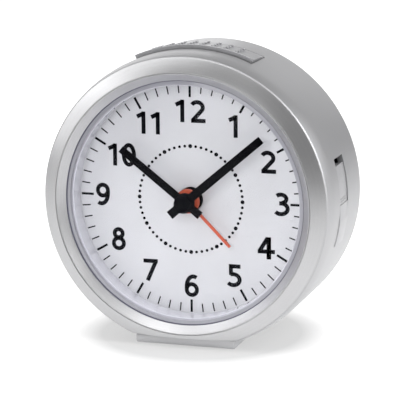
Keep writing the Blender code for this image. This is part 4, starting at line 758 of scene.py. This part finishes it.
def stroke(points):
    """One flat printed stroke along a line of points, as wide as the figures' stroke."""
    line = bpy.data.curves.new("stroke", "CURVE")
    line.dimensions = "3D"
    line.twist_mode = "Z_UP"
    line.extrude = STROKE * NUMERAL_HEIGHT / 2
    closed = (Vector(points[0]) - Vector(points[-1])).length < WELD
    points = points[:-1] if closed else points
    spline = line.splines.new("POLY")
    spline.points.add(len(points) - 1)
    for point, (x, y) in zip(spline.points, points):
        point.co = (x * NUMERAL_HEIGHT, y * NUMERAL_HEIGHT, 0.0, 1.0)
        point.tilt = math.pi / 2
    spline.use_cyclic_u = closed
    made = bpy.data.objects.new("stroke", line)
    bpy.context.scene.collection.objects.link(made)
    pick_up(made)
    bpy.ops.object.convert(target="MESH")
    return bpy.context.object


def numeral(hour):
    """One upright numeral of drawn strokes about its hour's place."""
    across = 0.0
    strokes = []
    for figure in str(hour):
        width, lines = FIGURES[figure]
        tall = OVERSHOOT if figure in ROUND_FIGURES else 1.0
        for points in lines:
            strokes.append(stroke([(x + across, y * tall) for x, y in points]))
        across += width + FIGURE_SPACE.get(hour, 0.0)
    mark = united(f"numeral {hour}", strokes)
    edit(mark)
    merge(WELD_PRINT)
    bpy.ops.mesh.extrude_region_move(TRANSFORM_OT_translate={"value": (0.0, 0.0, PRINT_HEIGHT)})
    bpy.ops.mesh.select_all(action="SELECT")
    bpy.ops.mesh.normals_make_consistent(inside=False)
    done()
    corners = [Vector(corner) for corner in mark.bound_box]
    middle = sum(corners, Vector()) / len(corners)
    mark.data.transform(Matrix.Translation(-middle))
    mark.data.transform(Matrix.Rotation(math.pi / 2, 4, "X"))
    mark.data.transform(Matrix.Translation(at(*NUMERAL_MIDDLE[hour], PRINT_HEIGHT / 2)))
    return mark


def make_numerals():
    """The twelve hours."""
    marks = united("dial_numerals", [numeral(hour) for hour in range(1, 13)])
    dressed(marks, INK, "case")


# Hands

def make_hand(name, body, finish, node_name, height, length, tail, width, taper, hub, bore,
              angle):
    """A flat tapered hand: blade, round hub with its bore, edges eased."""
    thick, proud = 0.0005, 0.0001
    blade = block(name, (-width / 2, -tail, height), (width / 2, length, height + thick))
    edit(blade)
    bpy.ops.mesh.select_all(action="DESELECT")
    done()
    near_tip = AXIS_Z + length - 0.0001
    for vertex in blade.data.vertices:
        vertex.select = vertex.co.z > near_tip
    bpy.ops.object.mode_set(mode="EDIT")
    bpy.ops.transform.resize(value=(taper, 1.0, 1.0), center_override=at(0.0, length, height))
    bpy.ops.mesh.select_all(action="SELECT")
    turn_to(angle)
    done()
    low, top = height - proud, height + thick + proud
    disc = lathe("hub", [(bore, low), (hub, low), (hub, top), (bore, top)], 72)
    carve(blade, rod("bore", bore, at(0.0, 0.0, height - 0.002), at(0.0, 0.0, height + 0.003), 48))
    carve(blade, disc, operation="UNION")
    ease(blade, 0.00008)
    dressed(blade, finish, body, node_name)


def make_hands():
    """The three hands, the cap in front of them and the collar at the dial."""
    make_hand("minute_blade", "minute_train", HAND_BLACK, "minute_hand",
              height=0.0071, length=0.03475, tail=0.0065, width=0.0030, taper=0.88,
              hub=0.0033, bore=0.00115, angle=49.6)
    make_hand("hour_blade", "hour_train", HAND_BLACK, "hour_hand",
              height=0.0060, length=0.0280, tail=0.0066, width=0.0027, taper=0.88,
              hub=0.0033, bore=0.00185, angle=307.6)
    make_hand("alarm_blade", "alarm_train", ORANGE, "alarm_hand",
              height=0.0031, length=0.0207, tail=0.0005, width=0.0010, taper=0.95,
              hub=0.0041, bore=0.00255, angle=135.2)
    socket, face, floor, back = 0.00115, 0.0093, 0.0089, 0.0079
    cap = lathe("cap_button", [(0.0, face), (0.0021, face), (0.00225, 0.0095)]
                + arc((0.0025, 0.0091), 0.0005, 110, 0, 8)
                + [(0.0030, back), (socket, back), (socket, floor), (0.0, floor)], 72)
    dressed(cap, CAP_BLACK, "minute_train", "hand_cap")
    bore, flush = 0.00255, -0.0009
    bush = lathe("bush_collar", arc((0.0037, 0.0006), 0.0003, 90, 0, 5)
                 + [(0.0040, flush), (bore, flush), (bore, 0.0009)], 72)
    dressed(bush, HAND_BLACK, "case", "centre_bush")


# Snooze bar

# The field of pips: how far behind the dial's face it starts and ends, its radius and its slope
FIELD_START, FIELD_END = 0.0046, 0.0140
FIELD_RADIUS = 0.05098
FIELD_FALL = 0.00030
PIPS_ACROSS = 8
PIPS_DEEP = 4
PIP_ANGLE = 4.65
PIP_PITCH = 0.0029
FIRST_PIP = 0.0056


def field_radius(setback):
    """Radius of the field behind the bar's crest."""
    return FIELD_RADIUS - FIELD_FALL * (setback - FIELD_START) / (FIELD_END - FIELD_START)


def make_pips():
    """The rows of domes on the field."""
    start = -PIP_ANGLE * (PIPS_ACROSS - 1) / 2
    sunk, tall = 0.0004, 0.00104
    rows = []
    for row in range(PIPS_DEEP):
        setback = FIRST_PIP + PIP_PITCH * row
        foot = field_radius(setback) - sunk
        pip = rod("pip", 0.00058, round_dial(foot, start, -setback),
                  round_dial(foot + tall, start, -setback), 24)
        soften(pip, 0.00018)
        rows.append(repeat_round(pip, PIPS_ACROSS, PIP_ANGLE))
    return rows


def make_snooze_bar():
    """The curved wedge on top with its rows of domes, its lugs and the peg over the switch."""
    front, rear = -0.0040, -0.0190
    base, crest, corner = 0.0483, 0.0514, 0.00010
    profile = [(base, front), (crest - corner, front), (crest, front - corner),
               (crest, front - 0.00035), (field_radius(FIELD_START), -FIELD_START),
               (field_radius(FIELD_END), -FIELD_END), (DRUM, rear), (base, rear)]
    bar = lathe("snooze_plate", profile, 96, -SNOOZE_HALF, 2 * SNOOZE_HALF)
    ease(bar, 0.00012)
    pips = make_pips()
    lugs = []
    hinge_up, hinge_height = 0.0426, -0.0175
    for side in (-1, 1):
        left, right = side * 0.013 - 0.001, side * 0.013 + 0.001
        lugs.append(block("lug", (left, hinge_up, -0.0196), (right, 0.0470, -0.0154)))
        lugs.append(rod("lug eye", 0.0021, at(left, hinge_up, hinge_height),
                        at(right, hinge_up, hinge_height), 40))
    peg = rod("switch peg", 0.0015, at(0.0, 0.0428, -0.0080), at(0.0, 0.0487, -0.0080))
    whole = united("snooze_plate", [bar] + pips + lugs + [peg])
    dressed(whole, BAR_SILVER, "snooze", "snooze_bar")


# Slide switch in the side

def make_slider():
    """The plate in the wall's window, with its raised half, grip ridges, guide and fork."""
    inner, front, rear = 0.0465, -0.0051, -0.0152
    plate = sector("slide_plate", inner, DRUM - 0.0003, front, rear, *SLIDER_SPAN)
    raised = sector("raised half", 0.0470, DRUM + 0.00035, front, rear, *RAISED_SPAN, 40)
    carve(raised, block("side limit", (DRUM - 0.00002, -0.08, -0.08), (0.09, 0.08, 0.03)))
    ease(plate, 0.00010)
    ease(raised, 0.00010)
    guide = sector("guide", inner, 0.0477, front + 0.0008, rear - 0.0008, *SLIDER_SPAN)
    ridges = []
    half = 0.25
    for angle in RIDGE_ANGLES:
        ridge = sector("ridge", DRUM - 0.0004, DRUM - 0.0001, front - 0.0016, rear + 0.0016,
                       angle - half, angle + half, 4)
        ease(ridge, 0.00008)
        ridges.append(ridge)
    forks = [block("fork", (0.0432, side * 0.0023 - 0.0005, -0.0101),
                   (0.0468, side * 0.0023 + 0.0005, -0.0069)) for side in (-1, 1)]
    whole = united("slide_plate", [plate, raised, guide] + ridges + forks)
    dressed(whole, SLIDE_SILVER, "side_switch", "alarm_slider")


# Back: screws and alarm knob

def stand_of(name):
    """Where a round node sits: its centre, its rear height and its front height."""
    low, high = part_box(name)
    centre = (low.x + high.x) / 2, (low.z + high.z) / 2 - AXIS_Z
    return centre, DIAL_Y - high.y, DIAL_Y - low.y


def body_of_node(name):
    """The body that a node moves with."""
    for body, nodes in frame["record"]["behaviour"]["bodies"].items():
        if name in nodes:
            return body
    return "case"


def make_cover_screw(number):
    """A pan-head screw with a cross recess."""
    name = f"cover_screw_{number}"
    centre, face, tip = stand_of(name)
    shank, head = 0.0011, 0.0026
    seat = face + 0.0014
    profile = [(0.0, tip), (0.0009, tip), (shank, tip - 0.0005), (shank, seat), (head, seat)]
    profile += arc((head - 0.0008, face + 0.0008), 0.0008, 0, -90, 6) + [(0.0, face)]
    screw = lathe(f"screw_{number}", profile, 48, centre=centre)
    across, up = centre
    long, short = 0.0014, 0.0003
    for wide, tall in ((long, short), (short, long)):
        carve(screw, block("slot", (across - wide, up - tall, face - 0.001),
                           (across + wide, up + tall, face + 0.0007)))
    dressed(screw, STEEL, body_of_node(name), name)


def make_knob():
    """The alarm knob: dished face, eased edge and a fluted rim."""
    centre, face, back = stand_of("alarm_knob")
    bore, grip, edge, dish = 0.0012, 0.00698, 0.0005, 0.0005
    socket = face + 0.00104
    profile = [(0.0, socket), (bore, socket), (bore, back), (0.0068, back),
               (grip, back - 0.0002), (grip, face + edge)]
    profile += arc((grip - edge, face + edge), edge, 0, -90, 5)
    profile += [(0.0046, face), (0.0040, face + dish), (0.0, face + dish)]
    knob = lathe("knob_grip", profile, 96, centre=centre)
    flutes = 20
    start = (centre[0] + 0.0072, centre[1])
    flute = rod("flute", 0.00062, at(*start, face - 0.001), at(*start, back + 0.001), 16)
    carve(knob, repeat_round(flute, flutes, 360.0 / flutes, centre))
    dressed(knob, DARK, body_of_node("alarm_knob"), "alarm_knob")


# What stays as the solids have it, smoothed and given its finish

KEPT = {
    "rear_cover": DARK, "battery_door": DARK, "battery": SLEEVE, "battery_spring": STEEL,
    "battery_contact": STEEL, "movement_front_plate": PALE, "movement_rear_plate": DARK_FINE,
    "minute_arbor": PALE, "motion_wheel": PALE, "hour_wheel": PALE, "alarm_wheel": PALE,
    "alarm_pinion": PALE, "intermediate_wheel": PALE, "rotor": DARK_FINE,
    "stator": STEEL, "coil": COPPER, "control_board": BOARD, "receiver_chip": DARK_FINE,
    "antenna_rod": FERRITE, "antenna_coil": COPPER, "buzzer": DARK_FINE, "snooze_spring": STEEL,
    "snooze_switch_body": DARK_FINE, "snooze_switch_plunger": PALE, "snooze_hinge_pin": STEEL,
    "alarm_switch": DARK_FINE, "alarm_switch_lever": PALE, "set_button": BUTTON,
    "wave_button": BUTTON, "reset_button": BUTTON, "set_switch_body": DARK_FINE,
    "wave_switch_body": DARK_FINE,
    "reset_switch_body": DARK_FINE, "set_switch_plunger": PALE, "wave_switch_plunger": PALE,
    "reset_switch_plunger": PALE, "movement_screw_1": STEEL, "movement_screw_2": STEEL,
}
KEPT_CRISP = ("rear_cover", "battery_door")


def smooth_copy(name, finish):
    """A node's own shape, merged and smoothed, with more sharp edges where it stays crisp."""
    source = frame["nodes"][name]
    piece = bpy.data.objects.new(f"{name}_smooth", source.data.copy())
    bpy.context.scene.collection.objects.link(piece)
    edit(piece)
    merge(WELD)
    done()
    if name.endswith("_button"):
        soften(piece, 0.0004)
    dressed(piece, finish, body_of_node(name), name)
    if name in KEPT_CRISP:
        settle(piece, 12.0)
    modify(piece, "WEIGHTED_NORMAL", keep_sharp=True)


# Studio

# Softboxes: degrees round from the front towards the right, degrees up, watts
SOFTBOXES = [(-150, 18, 1.19), (-90, 18, 1.44), (-60, 18, 1.32), (0, 18, 1.90), (90, 18, 3.36),
             (120, 18, 1.26), (180, 18, 0.63), (-90, 42, 1.17), (-60, 42, 1.33), (90, 42, 2.96),
             (-45, 68, 1.64), (45, 68, 1.26), (0, 89, 1.39)]
SOFTBOX_SIZE = 0.5
SOFTBOX_DISTANCE = 0.9
AIM = Vector((0.0, 0.0, 0.05))

# The floor's own light by the distance from the clock, with a painted shadow round the foot and
# painted light in reflections: from, to, and the strength at each
PAINTED_SHADOW_AT_THE_FOOT = (0.034, 0.044, 0.48, 0.85)
FARTHER_OUT = (0.055, 0.50, 0.0, 0.15)
PAINTED_LIGHT_IN_REFLECTIONS = (0.08, 0.40, 0.68, 0.10)
FLOOR_TONE = (0.70, 0.70, 0.70, 1.0)
# The floor is darker to the camera than to the light, so that its painted shadow counts for more
# than the lamps' shading
FLOOR_TONE_SEEN = (0.25, 0.25, 0.25, 1.0)
WORLD_TONE = (0.02, 0.02, 0.02, 1.0)
WHITE = (1.0, 1.0, 1.0, 1.0)

CAMERA_PLACE = (0.21071479, -0.65714422, 0.18966195)
CAMERA_TURN = (1.36561856, 0.00849478, 0.30893048)
CAMERA_ANGLE = 10.96724562


def by_distance(tree, distance, start, end, first, last):
    """A strength that runs from first to last between two distances."""
    return node(tree, "ShaderNodeMapRange", {"Value": distance, "From Min": start, "From Max": end,
                                             "To Min": first, "To Max": last}).outputs[0]


def make_floor():
    """The white floor, with a painted soft shadow round the foot and painted light, brighter near
    the clock, in reflections.
    """
    put_down()
    bpy.ops.mesh.primitive_plane_add(size=6.0, location=(0.0, 0.0, 0.0))
    floor = called("studio_floor")
    material, tree, surface = shader("studio floor")
    path = node(tree, "ShaderNodeLightPath")
    away = node(tree, "ShaderNodeVectorMath", {0: place_on_piece(tree)}, operation="LENGTH")
    distance = away.outputs["Value"]
    # Painted shadow: as the camera sees it, the floor glows less round the foot and whiter farther
    # out
    level = calc(tree, "ADD", by_distance(tree, distance, *PAINTED_SHADOW_AT_THE_FOOT),
                 by_distance(tree, distance, *FARTHER_OUT))
    seen = calc(tree, "MULTIPLY", path.outputs["Is Camera Ray"], level)
    # Painted light: in reflections the floor glows brighter near the clock
    glow = calc(tree, "MULTIPLY_ADD", path.outputs["Is Glossy Ray"],
                by_distance(tree, distance, *PAINTED_LIGHT_IN_REFLECTIONS), seen)
    tone = node(tree, "ShaderNodeMix", {0: path.outputs["Is Camera Ray"], 6: FLOOR_TONE,
                                        7: FLOOR_TONE_SEEN}, data_type="RGBA")
    wire(tree, surface, {"Base Color": tone.outputs[2], "Roughness": 0.9,
                         "Emission Color": WHITE, "Emission Strength": glow})
    floor.data.materials.append(material)


def make_world():
    """A backdrop that is white to the camera and nearly dark as a light."""
    world = bpy.data.worlds.new("studio")
    world.use_nodes = True
    bpy.context.scene.world = world
    tree = world.node_tree
    tree.nodes.clear()
    path = node(tree, "ShaderNodeLightPath")
    dim = node(tree, "ShaderNodeBackground", {"Color": WORLD_TONE})
    white = node(tree, "ShaderNodeBackground", {"Color": WHITE})
    mixed = node(tree, "ShaderNodeMixShader", {0: path.outputs["Is Camera Ray"], 1: dim.outputs[0],
                                               2: white.outputs[0]})
    node(tree, "ShaderNodeOutputWorld", {"Surface": mixed.outputs[0]})


def make_softbox(turn, climb, power):
    """A square softbox that looks at the clock."""
    turn_angle, climb_angle = math.radians(turn), math.radians(climb)
    away = Vector((math.sin(turn_angle) * math.cos(climb_angle),
                   -math.cos(turn_angle) * math.cos(climb_angle), math.sin(climb_angle)))
    put_down()
    bpy.ops.object.light_add(type="AREA", location=AIM + SOFTBOX_DISTANCE * away)
    light = bpy.context.object
    light.name = f"softbox {turn} {climb}"
    light.data.size = SOFTBOX_SIZE
    light.data.energy = power
    light.rotation_euler = (-away).to_track_quat("-Z", "Y").to_euler()


def set_camera():
    """The photograph's view: from a little to the right of the dial and a little above it."""
    put_down()
    bpy.ops.object.camera_add(location=CAMERA_PLACE, rotation=CAMERA_TURN)
    camera = bpy.context.object
    camera.name = "camera"
    camera.data.sensor_fit = "HORIZONTAL"
    camera.data.angle = math.radians(CAMERA_ANGLE)
    camera.data.clip_start = 0.01
    camera.data.clip_end = 20.0
    bpy.context.scene.camera = camera


make_drum()
make_foot()
make_bezel()
make_lens()
make_seal()
make_border()
make_dial_wall()
make_dial()
make_ticks()
make_dots()
make_numerals()
make_hands()
make_snooze_bar()
make_slider()
for screw_number in range(1, 5):
    make_cover_screw(screw_number)
make_knob()
for kept, kept_finish in KEPT.items():
    smooth_copy(kept, kept_finish)
make_floor()
make_world()
for softbox in SOFTBOXES:
    make_softbox(*softbox)
set_camera()
bpy.context.scene.view_settings.view_transform = "Standard"
